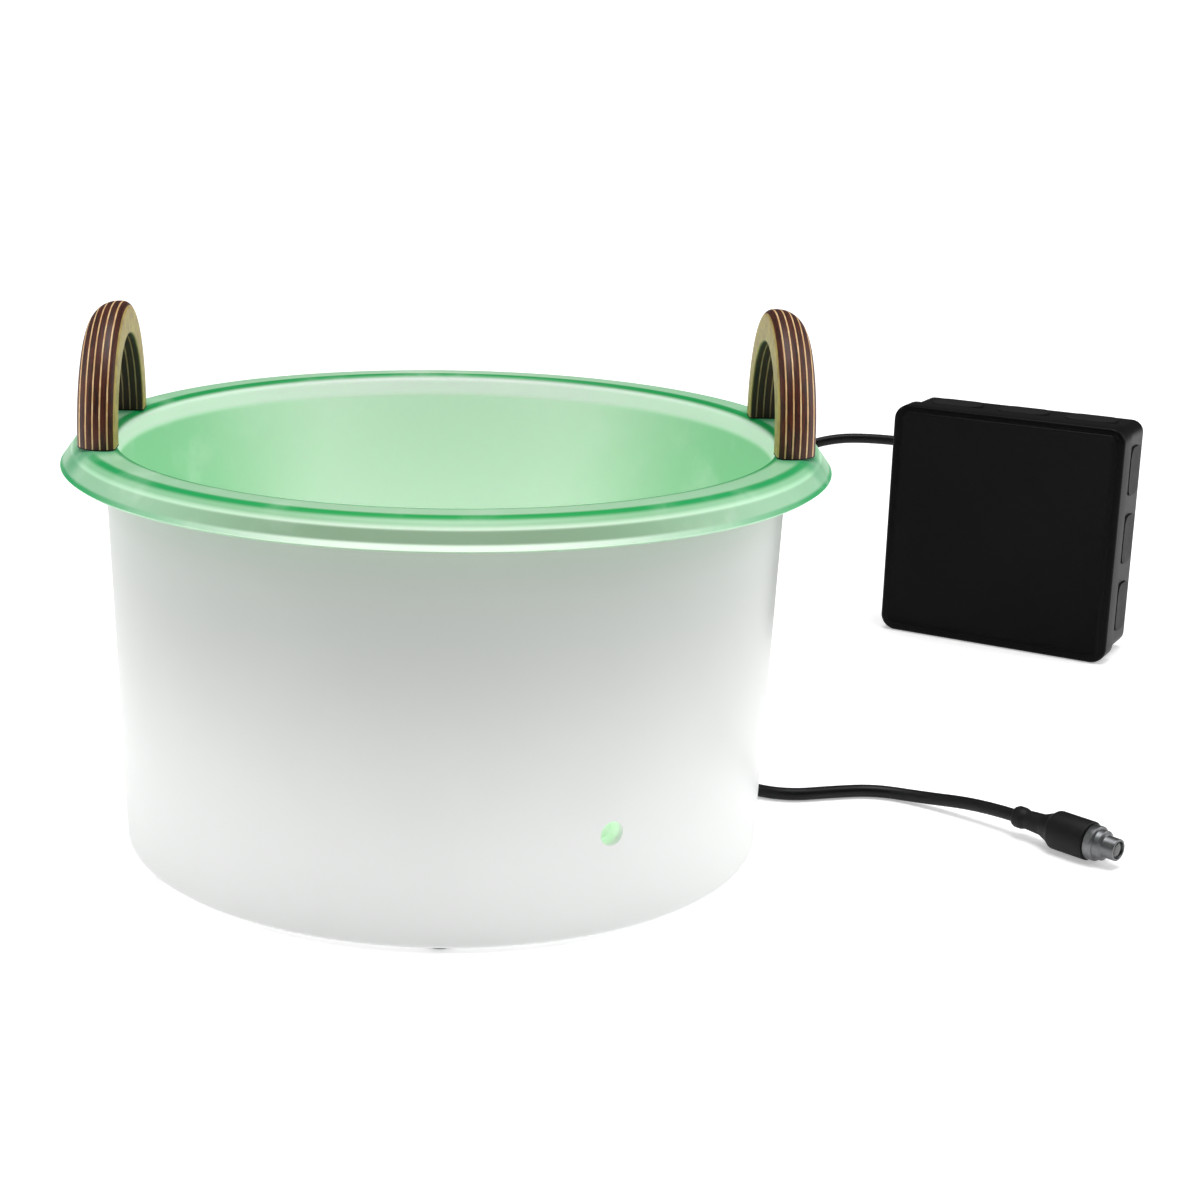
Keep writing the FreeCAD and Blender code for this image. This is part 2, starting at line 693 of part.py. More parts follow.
def pad_slab(frame):
    """Rounded raised pad standing on the base's wall."""
    centre, outward = frame
    middle = centre + outward * (PAD_HEIGHT / 2)
    if abs(outward.x) > NEARLY_ONE:
        size = V(PAD_HEIGHT, PAD_WIDTH, PAD_LENGTH)
    else:
        size = V(PAD_LENGTH, PAD_WIDTH, PAD_HEIGHT)
    block = Part.makeBox(size.x, size.y, size.z, middle - size * 0.5)
    return block.makeFillet(PAD_CORNER_RADIUS, edges_along(block, outward))


def pad_hole(frame):
    centre, outward = frame
    return rod(PAD_HOLE_RADIUS, BOX_WALL, centre - outward * BOX_WALL, outward)


def box_base():
    """Open tray with plain knock-out holes, wall holes in its back and posts for the mounting plate."""
    inset = base_inset()
    floor = BOX_DEPTH - BOX_WALL
    outer = rounded_slab(inset, base_front(), BOX_DEPTH, BOX_CORNER_RADIUS - inset)
    outer = outer.makeFillet(BASE_BACK_ROUND, edges_at_depth(outer, BOX_DEPTH))
    hollow_inset = inset + BOX_WALL
    hollow = rounded_slab(hollow_inset, base_front(), floor, BOX_CORNER_RADIUS - hollow_inset)
    post_places = square_places(POST_SPACING, post_front())
    posts = [rod(POST_RADIUS, POST_LENGTH, p, BACK) for p in post_places]
    tray = outer.cut(hollow).fuse(Part.makeCompound(posts))
    cuts = [pad_hole(f) for f in pad_frames()]
    cuts += [rod(WALL_HOLE_RADIUS, BOX_WALL, p, BACK) for p in square_places(WALL_HOLE_SPACING, floor)]
    cuts += [rod(PLATE_SCREW_RADIUS, POST_LENGTH, p, BACK) for p in post_places]
    return box_placed(tray.cut(Part.makeCompound(cuts)))


def post_front():
    return BOX_DEPTH - BOX_WALL - POST_LENGTH


def square_places(spacing, depth):
    """The corners of a centred square of that side, at that depth."""
    half = spacing / 2
    return [
        V(BOX_WIDTH / 2 + i * half, depth, BOX_HEIGHT / 2 + k * half)
        for i in (-1, 1)
        for k in (-1, 1)
    ]


def lid_seal():
    """Soft ring on the base's rim, just short of the lid's ledge."""
    front = base_front() - SEAL_HEIGHT
    inset = base_inset()
    outer = rounded_slab(inset, front, base_front(), BOX_CORNER_RADIUS - inset)
    inner = rounded_slab(inset + SEAL_WIDTH, front, base_front(), BOX_CORNER_RADIUS - inset - SEAL_WIDTH)
    return box_placed(outer.cut(inner))


def membrane(frame):
    """Closed knock-out: the raised pad and its plug in the wall's hole."""
    return box_placed(pad_slab(frame).fuse(pad_hole(frame)))


def grommet(frame):
    """A pad with a bore for a cable."""
    centre, outward = frame
    bore = rod(CORD_RADIUS + CORD_CLEARANCE, BOX_WALL + PAD_HEIGHT, centre - outward * BOX_WALL, outward)
    return box_placed(pad_slab(frame).fuse(pad_hole(frame)).cut(bore))


def plate_front():
    return post_front() - PLATE_THICKNESS


def mounting_plate():
    corner = V((BOX_WIDTH - PLATE_SIDE) / 2, plate_front(), (BOX_HEIGHT - PLATE_SIDE) / 2)
    plate = Part.makeBox(PLATE_SIDE, PLATE_THICKNESS, PLATE_SIDE, corner)
    plate = plate.makeFillet(PLATE_CORNER_RADIUS, edges_along(plate, BACK))
    places = square_places(POST_SPACING, plate_front())
    holes = [rod(PLATE_SCREW_RADIUS, PLATE_THICKNESS, p, BACK) for p in places]
    return box_placed(plate.cut(Part.makeCompound(holes)))


def plate_screw(place):
    length = PLATE_THICKNESS + PLATE_SCREW_HOLD
    return inner_screw(place, PLATE_SCREW_RADIUS, PLATE_SCREW_HEAD_RADIUS, length)


def inner_screw(seat, radius, head_radius, length):
    """Screw driven into the box from its front, with a flat round head."""
    head = rod(head_radius, INNER_SCREW_HEAD_HEIGHT, seat - BACK * INNER_SCREW_HEAD_HEIGHT, BACK)
    return box_placed(head.fuse(rod(radius, length, seat, BACK)))


def driver_module():
    """Enclosed driver on the plate, with rounded edges and cooling ribs across its front."""
    front = plate_front() - DRIVER_DEPTH
    corner = V(DRIVER_LEFT, front, DRIVER_BOTTOM)
    block = Part.makeBox(DRIVER_WIDTH, DRIVER_DEPTH, DRIVER_HEIGHT, corner)
    block = block.makeFillet(DRIVER_ROUND, edges_along(block, BACK))
    pitch = (DRIVER_WIDTH - 2 * RIB_MARGIN - RIB_GROOVE_WIDTH) / (RIB_GROOVES - 1)
    groove_height = DRIVER_HEIGHT - 2 * RIB_MARGIN
    grooves = []
    for k in range(RIB_GROOVES):
        start = corner + V(RIB_MARGIN + pitch * k, 0, RIB_MARGIN)
        grooves.append(Part.makeBox(RIB_GROOVE_WIDTH, RIB_GROOVE_DEPTH, groove_height, start))
    return box_placed(block.cut(Part.makeCompound(grooves)))


def terminal_heights():
    return [TERMINAL_BOTTOM + TERMINAL_PITCH * (k + 0.5) for k in range(TERMINAL_COUNT)]


def terminal_middle():
    return TERMINAL_LEFT + TERMINAL_WIDTH / 2


def terminal_block():
    front = plate_front() - TERMINAL_DEPTH
    corner = V(TERMINAL_LEFT, front, TERMINAL_BOTTOM)
    block = Part.makeBox(TERMINAL_WIDTH, TERMINAL_DEPTH, TERMINAL_PITCH * TERMINAL_COUNT, corner)
    mouths = [V(terminal_middle(), front, z) for z in terminal_heights()]
    wells = [rod(TERMINAL_WELL_RADIUS, TERMINAL_WELL_DEPTH, p, BACK) for p in mouths]
    return box_placed(block.cut(Part.makeCompound(wells)))


def terminal_screws():
    """Clamping screws at the bottom of the wells."""
    seat = plate_front() - TERMINAL_DEPTH + TERMINAL_WELL_DEPTH - TERMINAL_SCREW_LENGTH
    places = [V(terminal_middle(), seat, z) for z in terminal_heights()]
    screws = [rod(TERMINAL_SCREW_RADIUS, TERMINAL_SCREW_LENGTH, p, BACK) for p in places]
    return Part.makeCompound([box_placed(s) for s in screws])


def lead_tail():
    """The lead's end inside the box: through the wall's grommet to the clamp."""
    inset = base_inset()
    start = V(inset - PAD_HEIGHT, PAD_DEPTH_CENTRE, PAD_CENTRES[2])
    return box_placed(rod(CORD_RADIUS, LEAD_TAIL_LENGTH, start, RIGHT))


def clamp_corner():
    """The clamp block's corner nearest the cable entry, the lid and the bottom."""
    across = base_inset() + BOX_WALL + CLAMP_GAP
    return V(across, PAD_DEPTH_CENTRE - CLAMP_COVER, PAD_CENTRES[2] - CLAMP_HEIGHT / 2)


def clamp_screw_places():
    middle = clamp_corner() + V(CLAMP_WIDTH / 2, 0, CLAMP_HEIGHT / 2)
    return [middle + UP * (side * CLAMP_SCREW_OFFSET) for side in (-1, 1)]


def cable_clamp():
    """Saddle across the lead, standing on the base's back wall."""
    corner = clamp_corner()
    block = Part.makeBox(CLAMP_WIDTH, BOX_DEPTH - BOX_WALL - corner.y, CLAMP_HEIGHT, corner)
    bore = rod(CORD_RADIUS, CLAMP_WIDTH, V(corner.x, PAD_DEPTH_CENTRE, PAD_CENTRES[2]), RIGHT)
    holes = [rod(CLAMP_SCREW_RADIUS, CLAMP_SCREW_LENGTH, p, BACK) for p in clamp_screw_places()]
    return box_placed(block.cut(Part.makeCompound([bore] + holes)))


def clamp_screws():
    sizes = (CLAMP_SCREW_RADIUS, CLAMP_SCREW_HEAD_RADIUS, CLAMP_SCREW_LENGTH)
    return Part.makeCompound([inner_screw(p, *sizes) for p in clamp_screw_places()])


def inner_wires():
    """Two wires from the lead's end to the lower terminals, and two from the upper ones to the driver.

    Each ends square to the face it meets, a hair short of it.
    """
    tail = base_inset() - PAD_HEIGHT + LEAD_TAIL_LENGTH + WIRE_END_GAP
    depth = PAD_DEPTH_CENTRE
    entry = plate_front() - TERMINAL_DEPTH / 2
    left = TERMINAL_LEFT - WIRE_END_GAP
    right = TERMINAL_LEFT + TERMINAL_WIDTH + WIRE_END_GAP
    driver = DRIVER_BOTTOM - WIRE_END_GAP
    lowest, low, high, highest = terminal_heights()
    first = PAD_CENTRES[2] - 2
    second = PAD_CENTRES[2] + 2
    first_drop = [(34, depth, first), (34, depth, 135), (34.5, 42, 100), (35, entry, 60)]
    second_drop = [(38.5, depth, second), (38.5, depth, 136), (39.5, 42, 100), (40, entry, 70)]
    runs = [
        [(tail, depth, first)] + first_drop + [(36, entry, lowest), (left, entry, lowest)],
        [(tail, depth, second)] + second_drop + [(40, entry, low), (left, entry, low)],
        [(right, entry, high), (74, entry, high), (74, entry, driver)],
        [(right, entry, highest), (67, entry, highest), (67, entry, driver)],
    ]
    tubes = [cord_tube([V(*p) for p in run], WIRE_RADIUS)[0] for run in runs]
    return Part.makeCompound([box_placed(tube) for tube in tubes])


# ---------------------------------------------------------------- cord


def cord_tube(points, radius):
    """A tube along straight runs joined by tangent arcs, with its length and its arcs' radii."""
    edges = []
    radii = []
    here = points[0]
    for before, corner, after in zip(points, points[1:], points[2:]):
        into = corner - before
        out = after - corner
        turn = into.getAngle(out)
        trim = ARC_SHARE * min(into.Length, out.Length)
        radius_of_arc = trim / math.tan(turn / 2)
        arc_start = corner - into.normalize() * trim
        arc_end = corner + out.normalize() * trim
        inward = (arc_start + arc_end) * 0.5 - corner
        reach = radius_of_arc / math.cos(turn / 2) - radius_of_arc
        middle = corner + inward.normalize() * reach
        edges.append(Part.LineSegment(here, arc_start).toShape())
        edges.append(Part.Arc(arc_start, middle, arc_end).toShape())
        radii.append(radius_of_arc)
        here = arc_end
    edges.append(Part.LineSegment(here, points[-1]).toShape())
    path = Part.Wire(edges)
    first_way = points[1] - points[0]
    rim = Part.Wire([Part.makeCircle(radius, points[0], first_way)])
    tube = path.makePipeShell([rim], True, False)
    return tube, path.Length, radii


def coil_join(layer):
    """Where a lead meets the coil: on its right-hand side, at the height of that layer."""
    return V(COIL_CENTRE.x + COIL_OUTER_TURN, COIL_CENTRE.y, CORD_REST + layer * 2 * CORD_RADIUS)


def box_lead_points():
    inset = base_inset()
    mouth = box_point(inset - PAD_HEIGHT, PAD_DEPTH_CENTRE, PAD_CENTRES[2])
    return [mouth] + BOX_LEAD_ROUTE + [coil_join(1)]


def head_lead_points():
    inside_boot = HEAD_START + HEAD_DIRECTION * HEAD_BORE_DEPTH
    before_boot = HEAD_START - HEAD_DIRECTION * STRAIGHT_BEFORE_BOOT
    return [coil_join(0)] + HEAD_LEAD_ROUTE + [before_boot, inside_boot]


def coil_section():
    """Inner and outer radius, bottom and height of the coil's bundle of turns."""
    inner = COIL_INNER_TURN - CORD_RADIUS
    outer = COIL_OUTER_TURN + CORD_RADIUS
    return inner, outer, CORD_REST - CORD_RADIUS, 4 * CORD_RADIUS


def lead_coil():
    """The outer shape of the coil: two turns side by side, two high."""
    inner, outer, bottom, height = coil_section()
    base = COIL_CENTRE + UP * bottom
    ring = rod(outer, height, base).cut(rod(inner, height, base))
    return ring.makeFillet(COIL_ROUND, [e for e in ring.Edges if len(e.Vertexes) == 1])


def coil_tie():
    """Strap round the bundle on the side away from the drum's lead, standing a little proud of it."""
    inner, outer, bottom, height = coil_section()
    base = COIL_CENTRE + V(-outer - TIE_THICKNESS, -TIE_WIDTH / 2, bottom)
    band = Part.makeBox(outer - inner + 2 * TIE_THICKNESS, TIE_WIDTH, height + TIE_THICKNESS, base)
    upper = [e for e in edges_along(band, BACK) if e.BoundBox.ZMin > bottom + CONTACT]
    return band.makeFillet(CORD_RADIUS, upper).cut(lead_coil())


def report_cord(name, points):
    tube, length, radii = cord_tube(points, CORD_RADIUS)
    section = math.pi * CORD_RADIUS ** 2
    fill = tube.Volume / (section * length)
    print(name, "length %.1f" % length, "volume / (section x length) %.4f" % fill)
    print("  runs", " ".join("%.0f" % (b - a).Length for a, b in zip(points, points[1:])))
    print("  radii", " ".join("%.0f" % r for r in radii))
    return tube, length


# ---------------------------------------------------------------- the whole part


def main():
    os.makedirs("parts", exist_ok=True)
    frames = pad_frames()
    closed = [f for f in frames if not is_grommet(f)]
    lower, upper = sorted([f for f in frames if is_grommet(f)], key=lambda f: f[0].z)
    plate_screw_places = square_places(POST_SPACING, plate_front())
    export("drum_shell", drum_shell())
    export("drum_base_plate", base_plate())
    export("base_screws", Part.makeCompound([base_screw(p) for p in base_screw_places()]))
    export("drum_feet", Part.makeCompound([drum_foot(p) for p in foot_places()]))
    export("centre_foot", centre_foot())
    export("rim_ring", rim_ring())
    export("light_port_cup", port_cup())
    export("bowl", bowl())
    export("left_handle", handle(-1))
    export("right_handle", handle(1))
    export("foot_gaskets", Part.makeCompound([foot_gasket(p) for p in foot_screw_places()]))
    export("threaded_inserts", Part.makeCompound([threaded_insert(p) for p in foot_screw_places()]))
    export("handle_washers", Part.makeCompound([washer(p) for p in foot_screw_places()]))
    export("handle_screws", Part.makeCompound([handle_screw(p) for p in foot_screw_places()]))
    export("head_boot", head_boot())
    export("head_barrel", head_barrel())
    export("head_lens", head_lens())
    export("led_board", led_board())
    export("led_chip", led_chip())
    export("head_wires", head_wires())
    export("box_base", box_base())
    export("box_lid", box_lid())
    export("lid_seal", lid_seal())
    export("entry_membranes", Part.makeCompound([membrane(f) for f in closed]))
    export("mains_grommet", grommet(lower))
    export("lead_grommet", grommet(upper))
    export("mounting_plate", mounting_plate())
    export("plate_screws", Part.makeCompound([plate_screw(p) for p in plate_screw_places]))
    export("driver_module", driver_module())
    export("terminal_block", terminal_block())
    export("terminal_screws", terminal_screws())
    export("lead_tail", lead_tail())
    export("cable_clamp", cable_clamp())
    export("clamp_screws", clamp_screws())
    export("inner_wires", inner_wires())
    box_lead, box_length = report_cord("lead_from_box", box_lead_points())
    head_lead, head_length = report_cord("lead_to_head", head_lead_points())
    export("lead_from_box", box_lead)
    export("lead_to_head", head_lead)
    export("lead_coil", lead_coil())
    export("coil_tie", coil_tie())
    mean_turn = math.pi * (COIL_INNER_TURN + COIL_OUTER_TURN)
    print("coil length %.0f" % (CORD_TURNS * mean_turn))
    print("whole cord %.0f" % (box_length + head_length + CORD_TURNS * mean_turn))


main()
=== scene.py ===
import json
import math

import bmesh
import bpy
from bpy.props import FloatProperty, FloatVectorProperty, IntProperty, PointerProperty
from mathutils import Matrix, Vector


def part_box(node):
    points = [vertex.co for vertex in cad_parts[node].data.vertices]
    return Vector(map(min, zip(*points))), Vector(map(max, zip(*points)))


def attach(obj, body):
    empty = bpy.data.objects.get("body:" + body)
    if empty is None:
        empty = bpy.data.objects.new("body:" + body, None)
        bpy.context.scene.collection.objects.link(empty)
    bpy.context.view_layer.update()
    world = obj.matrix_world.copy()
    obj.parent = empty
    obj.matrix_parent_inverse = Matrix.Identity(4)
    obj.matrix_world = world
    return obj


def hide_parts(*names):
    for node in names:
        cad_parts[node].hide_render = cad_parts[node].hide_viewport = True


bl_info = {
    "name": "Foot bath with light head",
    "version": (1, 0, 0),
    "blender": (4, 5, 0),
    "location": "3D View > Sidebar > Foot bath",
    "description": "Builds a foot bath with its supply box, lead and light head around the packed parts",
    "category": "Add Mesh",
}

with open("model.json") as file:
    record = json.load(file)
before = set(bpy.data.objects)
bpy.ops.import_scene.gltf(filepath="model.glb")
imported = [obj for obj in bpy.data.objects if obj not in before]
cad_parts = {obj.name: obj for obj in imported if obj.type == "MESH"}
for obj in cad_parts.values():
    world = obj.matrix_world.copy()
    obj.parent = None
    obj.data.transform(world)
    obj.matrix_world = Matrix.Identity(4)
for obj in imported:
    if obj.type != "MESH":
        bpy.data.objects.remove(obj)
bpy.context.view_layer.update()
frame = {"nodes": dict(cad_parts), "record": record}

UP = Vector((0, 0, 1))

# Distance below which two points are one, how nearly a face or an edge points one way, and the angle
# past which an edge is sharp.
WELD = 1e-6
ALIGNED = 0.999
SHARP_ANGLE = math.radians(35)


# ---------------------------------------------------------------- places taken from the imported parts


def mount(name):
    """Place and direction of one of the record's mounts."""
    found = next(m for m in frame["record"]["mounts"] if m["name"] == name)
    return Vector(found["pos_m"]), Vector(found["axis"]).normalized()


def axes_matrix(origin, x_axis, y_axis, z_axis):
    """Matrix from a piece's own axes to its place."""
    turn = Matrix((x_axis, y_axis, z_axis)).transposed().to_4x4()
    return Matrix.Translation(origin) @ turn


def head_matrix():
    """The light head's own axes: X from the lead's end to the tip."""
    middle, along = mount("head_nose")
    start = middle - along * bpy.context.scene.bath_sizes.nose_middle
    return axes_matrix(start, along, UP.cross(along), UP)


def box_matrix():
    """The supply box's own axes: across its face, into its depth and up."""
    sizes = bpy.context.scene.bath_sizes
    middle, back = mount("box_wall_holes")
    across = back.cross(UP)
    corner = middle - across * sizes.box_width / 2 - back * sizes.box_depth - UP * sizes.box_height / 2
    return axes_matrix(corner, across, back, UP)


# ---------------------------------------------------------------- mesh helpers


def corner_offset(before, corner, after, radius):
    """Distance from a corner at which an arc of that radius leaves its sides."""
    into = (corner - before).normalized()
    out = (after - corner).normalized()
    return radius * math.tan(into.angle(out) / 2)


def bevel(bm, geom, offset, segments, affect):
    """Rounds corners or edges."""
    bmesh.ops.bevel(
        bm,
        geom=geom,
        offset=offset,
        offset_type="OFFSET",
        segments=segments,
        affect=affect,
        profile=0.5,
        material=-1,
    )


def section(points, closed=False):
    """A wire in the XZ plane. A point is (x, z), or (x, z, radius, segments) for a rounded corner."""
    bm = bmesh.new()
    corners = [bm.verts.new((p[0], 0, p[1])) for p in points]
    places = [v.co.copy() for v in corners]
    for a, b in zip(corners, corners[1:]):
        bm.edges.new((a, b))
    if closed:
        bm.edges.new((corners[-1], corners[0]))
    count = len(points)
    for k, point in enumerate(points):
        if len(point) > 2:
            offset = corner_offset(places[k - 1], places[k], places[(k + 1) % count], point[2])
            bevel(bm, [corners[k]], offset, point[3], "VERTICES")
    return bm


def spin(bm, centre, axis, steps, angle=math.tau):
    """Turns a wire about an axis, and closes the seam and the poles."""
    bmesh.ops.spin(
        bm,
        geom=bm.verts[:] + bm.edges[:],
        cent=centre,
        axis=axis,
        angle=angle,
        steps=steps,
        use_merge=angle == math.tau,
    )
    clean(bm)


def clean(bm):
    """Merges doubles, takes out slivers and points the faces outwards."""
    bmesh.ops.remove_doubles(bm, verts=bm.verts[:], dist=WELD)
    bmesh.ops.dissolve_degenerate(bm, edges=bm.edges[:], dist=WELD)
    bmesh.ops.recalc_face_normals(bm, faces=bm.faces[:])


def block(low, high):
    """A box between two corners."""
    bm = bmesh.new()
    bmesh.ops.create_cube(bm, size=1)
    low, high = Vector(low), Vector(high)
    bmesh.ops.scale(bm, vec=high - low, verts=bm.verts[:])
    bmesh.ops.translate(bm, vec=(low + high) / 2, verts=bm.verts[:])
    return bm


def edges_along(bm, direction):
    """The edges that run along a direction."""
    direction = Vector(direction)
    runs = [(e, (e.verts[1].co - e.verts[0].co).normalized()) for e in bm.edges]
    return [e for e, run in runs if abs(run.dot(direction)) > ALIGNED]


def faces_towards(bm, direction):
    """The faces that look in a direction."""
    direction = Vector(direction)
    bm.normal_update()
    return [f for f in bm.faces if f.normal.dot(direction) > ALIGNED]


def inset(bm, faces, steps, even=False):
    """Insets faces by one (thickness, depth) after another."""
    for thickness, depth in steps:
        bmesh.ops.inset_region(bm, faces=faces, thickness=thickness, depth=depth, use_even_offset=even)


def extrude_by(bm, edges, vec):
    """Extrudes edges, and moves what grew from them."""
    grown = bmesh.ops.extrude_edge_only(bm, edges=edges)["geom"]
    bmesh.ops.translate(bm, vec=vec, verts=[v for v in grown if isinstance(v, bmesh.types.BMVert)])


def mesh_from(name, bm):
    """Turns a finished bmesh into a mesh."""
    mesh = bpy.data.meshes.new(name)
    bm.to_mesh(mesh)
    bm.free()
    return mesh


def add_object(name, data):
    """Adds an object to the scene."""
    obj = bpy.data.objects.new(name, data)
    bpy.context.scene.collection.objects.link(obj)
    return obj


def piece(name, bm, finish, body, nodes, placed=None):
    """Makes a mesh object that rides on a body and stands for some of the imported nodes."""
    if placed is not None:
        bmesh.ops.transform(bm, matrix=placed, verts=bm.verts[:])
    mesh = mesh_from(name, bm)
    mesh.shade_smooth()
    mesh.set_sharp_from_angle(angle=SHARP_ANGLE)
    mesh.materials.append(finish)
    obj = add_object(name, mesh)
    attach(obj, body)
    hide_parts(*nodes)
    return obj


def dress(finish, *nodes):
    """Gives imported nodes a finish."""
    for name in nodes:
        mesh = frame["nodes"][name].data
        mesh.materials.clear()
        mesh.materials.append(finish)


# ---------------------------------------------------------------- shader helpers


def linear(red, green, blue):
    """A colour given as 0 to 255 on screen, as the shader wants it."""

    def one(value):
        value /= 255
        return value / 12.92 if value <= 0.04045 else ((value + 0.055) / 1.055) ** 2.4

    return (one(red), one(green), one(blue), 1.0)


class Value:
    """A number in a shader, with the arithmetic operators that are used on it."""

    def __init__(self, finish, socket):
        self.finish = finish
        self.socket = socket

    def math(self, operation, *others, first=None):
        """Adds a Math node on this value and the others, with first before them if it is given."""
        values = [self, *others] if first is None else [first, self, *others]
        return self.finish.node("ShaderNodeMath", {"operation": operation}, dict(enumerate(values))).value()

    def __add__(self, other):
        return self.math("ADD", other)

    def __sub__(self, other):
        return self.math("SUBTRACT", other)

    def __mul__(self, other):
        return self.math("MULTIPLY", other)

    def __truediv__(self, other):
        return self.math("DIVIDE", other)

    def __radd__(self, other):
        return self.math("ADD", first=other)

    def __rsub__(self, other):
        return self.math("SUBTRACT", first=other)

    def __rmul__(self, other):
        return self.math("MULTIPLY", first=other)

    def __abs__(self):
        return self.math("ABSOLUTE")

    def between(self, low, high):
        """0 below low, 1 above high, smooth in between."""
        settings = {"interpolation_type": "SMOOTHSTEP"}
        inputs = {"Value": self, "From Min": low, "From Max": high}
        return self.finish.node("ShaderNodeMapRange", settings, inputs).value()


class Made:
    """A node that was just made, and its outputs."""

    def __init__(self, finish, node):
        self.finish = finish
        self.node = node

    def value(self, output=0):
        return Value(self.finish, self.node.outputs[output])

    def socket(self, output=0):
        return self.node.outputs[output]


class Finish:
    """A material under construction."""

    def __init__(self, name):
        self.material = bpy.data.materials.new(name)
        self.material.use_nodes = True
        self.tree = self.material.node_tree
        self.shader = self.tree.nodes["Principled BSDF"]
        self.place = self.node("ShaderNodeTexCoord", {}, {}).socket("Object")
        parts = self.node("ShaderNodeSeparateXYZ", {}, {0: self.place})
        self.x, self.y, self.z = parts.value("X"), parts.value("Y"), parts.value("Z")

    def feed(self, socket, value):
        """Links a value or an output to a socket, or sets the socket."""
        if isinstance(value, Value):
            value = value.socket
        if isinstance(value, bpy.types.NodeSocket):
            self.tree.links.new(value, socket)
        else:
            socket.default_value = value

    def node(self, kind, settings, inputs):
        """Adds a node: its settings first, then the values or links of its sockets."""
        node = self.tree.nodes.new(kind)
        for name, value in settings.items():
            setattr(node, name, value)
        for name, value in inputs.items():
            self.feed(node.inputs[name], value)
        return Made(self, node)

    def shade(self, **inputs):
        """Sets or links the shader's sockets; an underscore stands for a space."""
        for name, value in inputs.items():
            self.feed(self.shader.inputs[name.replace("_", " ")], value)

    def mix(self, factor, first, second, blend="MIX"):
        """A colour between two others."""
        settings = {"data_type": "RGBA", "blend_type": blend, "clamp_factor": True}
        return self.node("ShaderNodeMix", settings, {0: factor, 6: first, 7: second}).socket(2)

    def stretched(self, scale):
        """The piece's coordinates, scaled along each axis."""
        return self.node("ShaderNodeMapping", {}, {"Vector": self.place, "Scale": scale}).socket()

    def noise(self, scale, detail=3.0, roughness=0.5, vector=None):
        """Cloudy pattern from 0 to 1."""
        inputs = {"Vector": vector or self.place, "Scale": scale, "Detail": detail, "Roughness": roughness}
        return self.node("ShaderNodeTexNoise", {}, inputs).value("Fac")

    def radius(self):
        """Distance from the bath's axis."""
        return (self.x * self.x + self.y * self.y).math("SQRT")

    def near(self, r, z, radius, height, width, core=0.25):
        """1 on a ring at that radius and height and for core of the width round it, 0 past the width."""
        dr = r - radius
        dz = z - height
        return 1 - (dr * dr + dz * dz).math("SQRT").between(width * core, width)

    def bump(self, height, strength, distance):
        """Raises the surface by a pattern, in its shading."""
        inputs = {"Height": height, "Strength": strength, "Distance": distance}
        self.shade(Normal=self.node("ShaderNodeBump", {}, inputs).socket("Normal"))


# ---------------------------------------------------------------- finishes that several pieces share


def moulded_plastic(name, colour, darker, roughness, grain, depth=0.0001, gloss=0.5):
    """Moulded plastic: faint cloudiness in its colour, uneven gloss and a fine moulded texture."""
    finish = Finish(name)
    cloud = finish.noise(18.0, 4.0)
    fine = finish.noise(grain, 2.0)
    finish.shade(
        Base_Color=finish.mix(cloud.between(0.3, 0.7), darker, colour),
        Roughness=roughness + (cloud - 0.5) * 0.12 + (fine - 0.5) * 0.06,
        Specular_IOR_Level=gloss,
    )
    finish.bump(fine, 0.25, depth)
    return finish.material


def rubber(name, colour, roughness):
    """Soft rubber with a dusty bloom and a fine dimpled surface."""
    finish = Finish(name)
    bloom = finish.noise(60.0, 5.0, 0.65)
    pores = finish.noise(2500.0, 1.0)
    dusty = tuple(min(c * 1.8 + 0.0015, c + 0.02) for c in colour[:3]) + (1.0,)
    finish.shade(
        Base_Color=finish.mix(bloom.between(0.45, 0.8), colour, dusty),
        Roughness=roughness + (bloom - 0.5) * 0.2,
        Specular_IOR_Level=0.22,
    )
    finish.bump(pores, 0.3, 0.0001)
    return finish.material


def turned_metal(name, colour, roughness, direction=(0, 0, 1), fineness=4000.0):
    """Metal with fine tool marks that run round the axis of that direction."""
    finish = Finish(name)
    along = finish.node("ShaderNodeVectorMath", {"operation": "DOT_PRODUCT"}, {0: finish.place, 1: direction})
    marks = (along.value("Value") * fineness).math("SINE")
    smear = finish.noise(90.0, 3.0)
    dark = tuple(c * 0.72 for c in colour[:3]) + (1.0,)
    finish.shade(
        Base_Color=finish.mix(smear.between(0.3, 0.75), dark, colour),
        Roughness=roughness + marks * 0.04 + (smear - 0.5) * 0.15,
        Metallic=1.0,
    )
    finish.bump(marks, 0.15, 0.00003)
    return finish.material


# ---------------------------------------------------------------- the user's sizes and colours


def length_property(name, description, default):
    return FloatProperty(name=name, description=description, default=default, unit="LENGTH")


def colour_property(name, description, colour):
    return FloatVectorProperty(
        name=name, description=description, default=colour, subtype="COLOR", size=4, min=0.0, max=1.0
    )


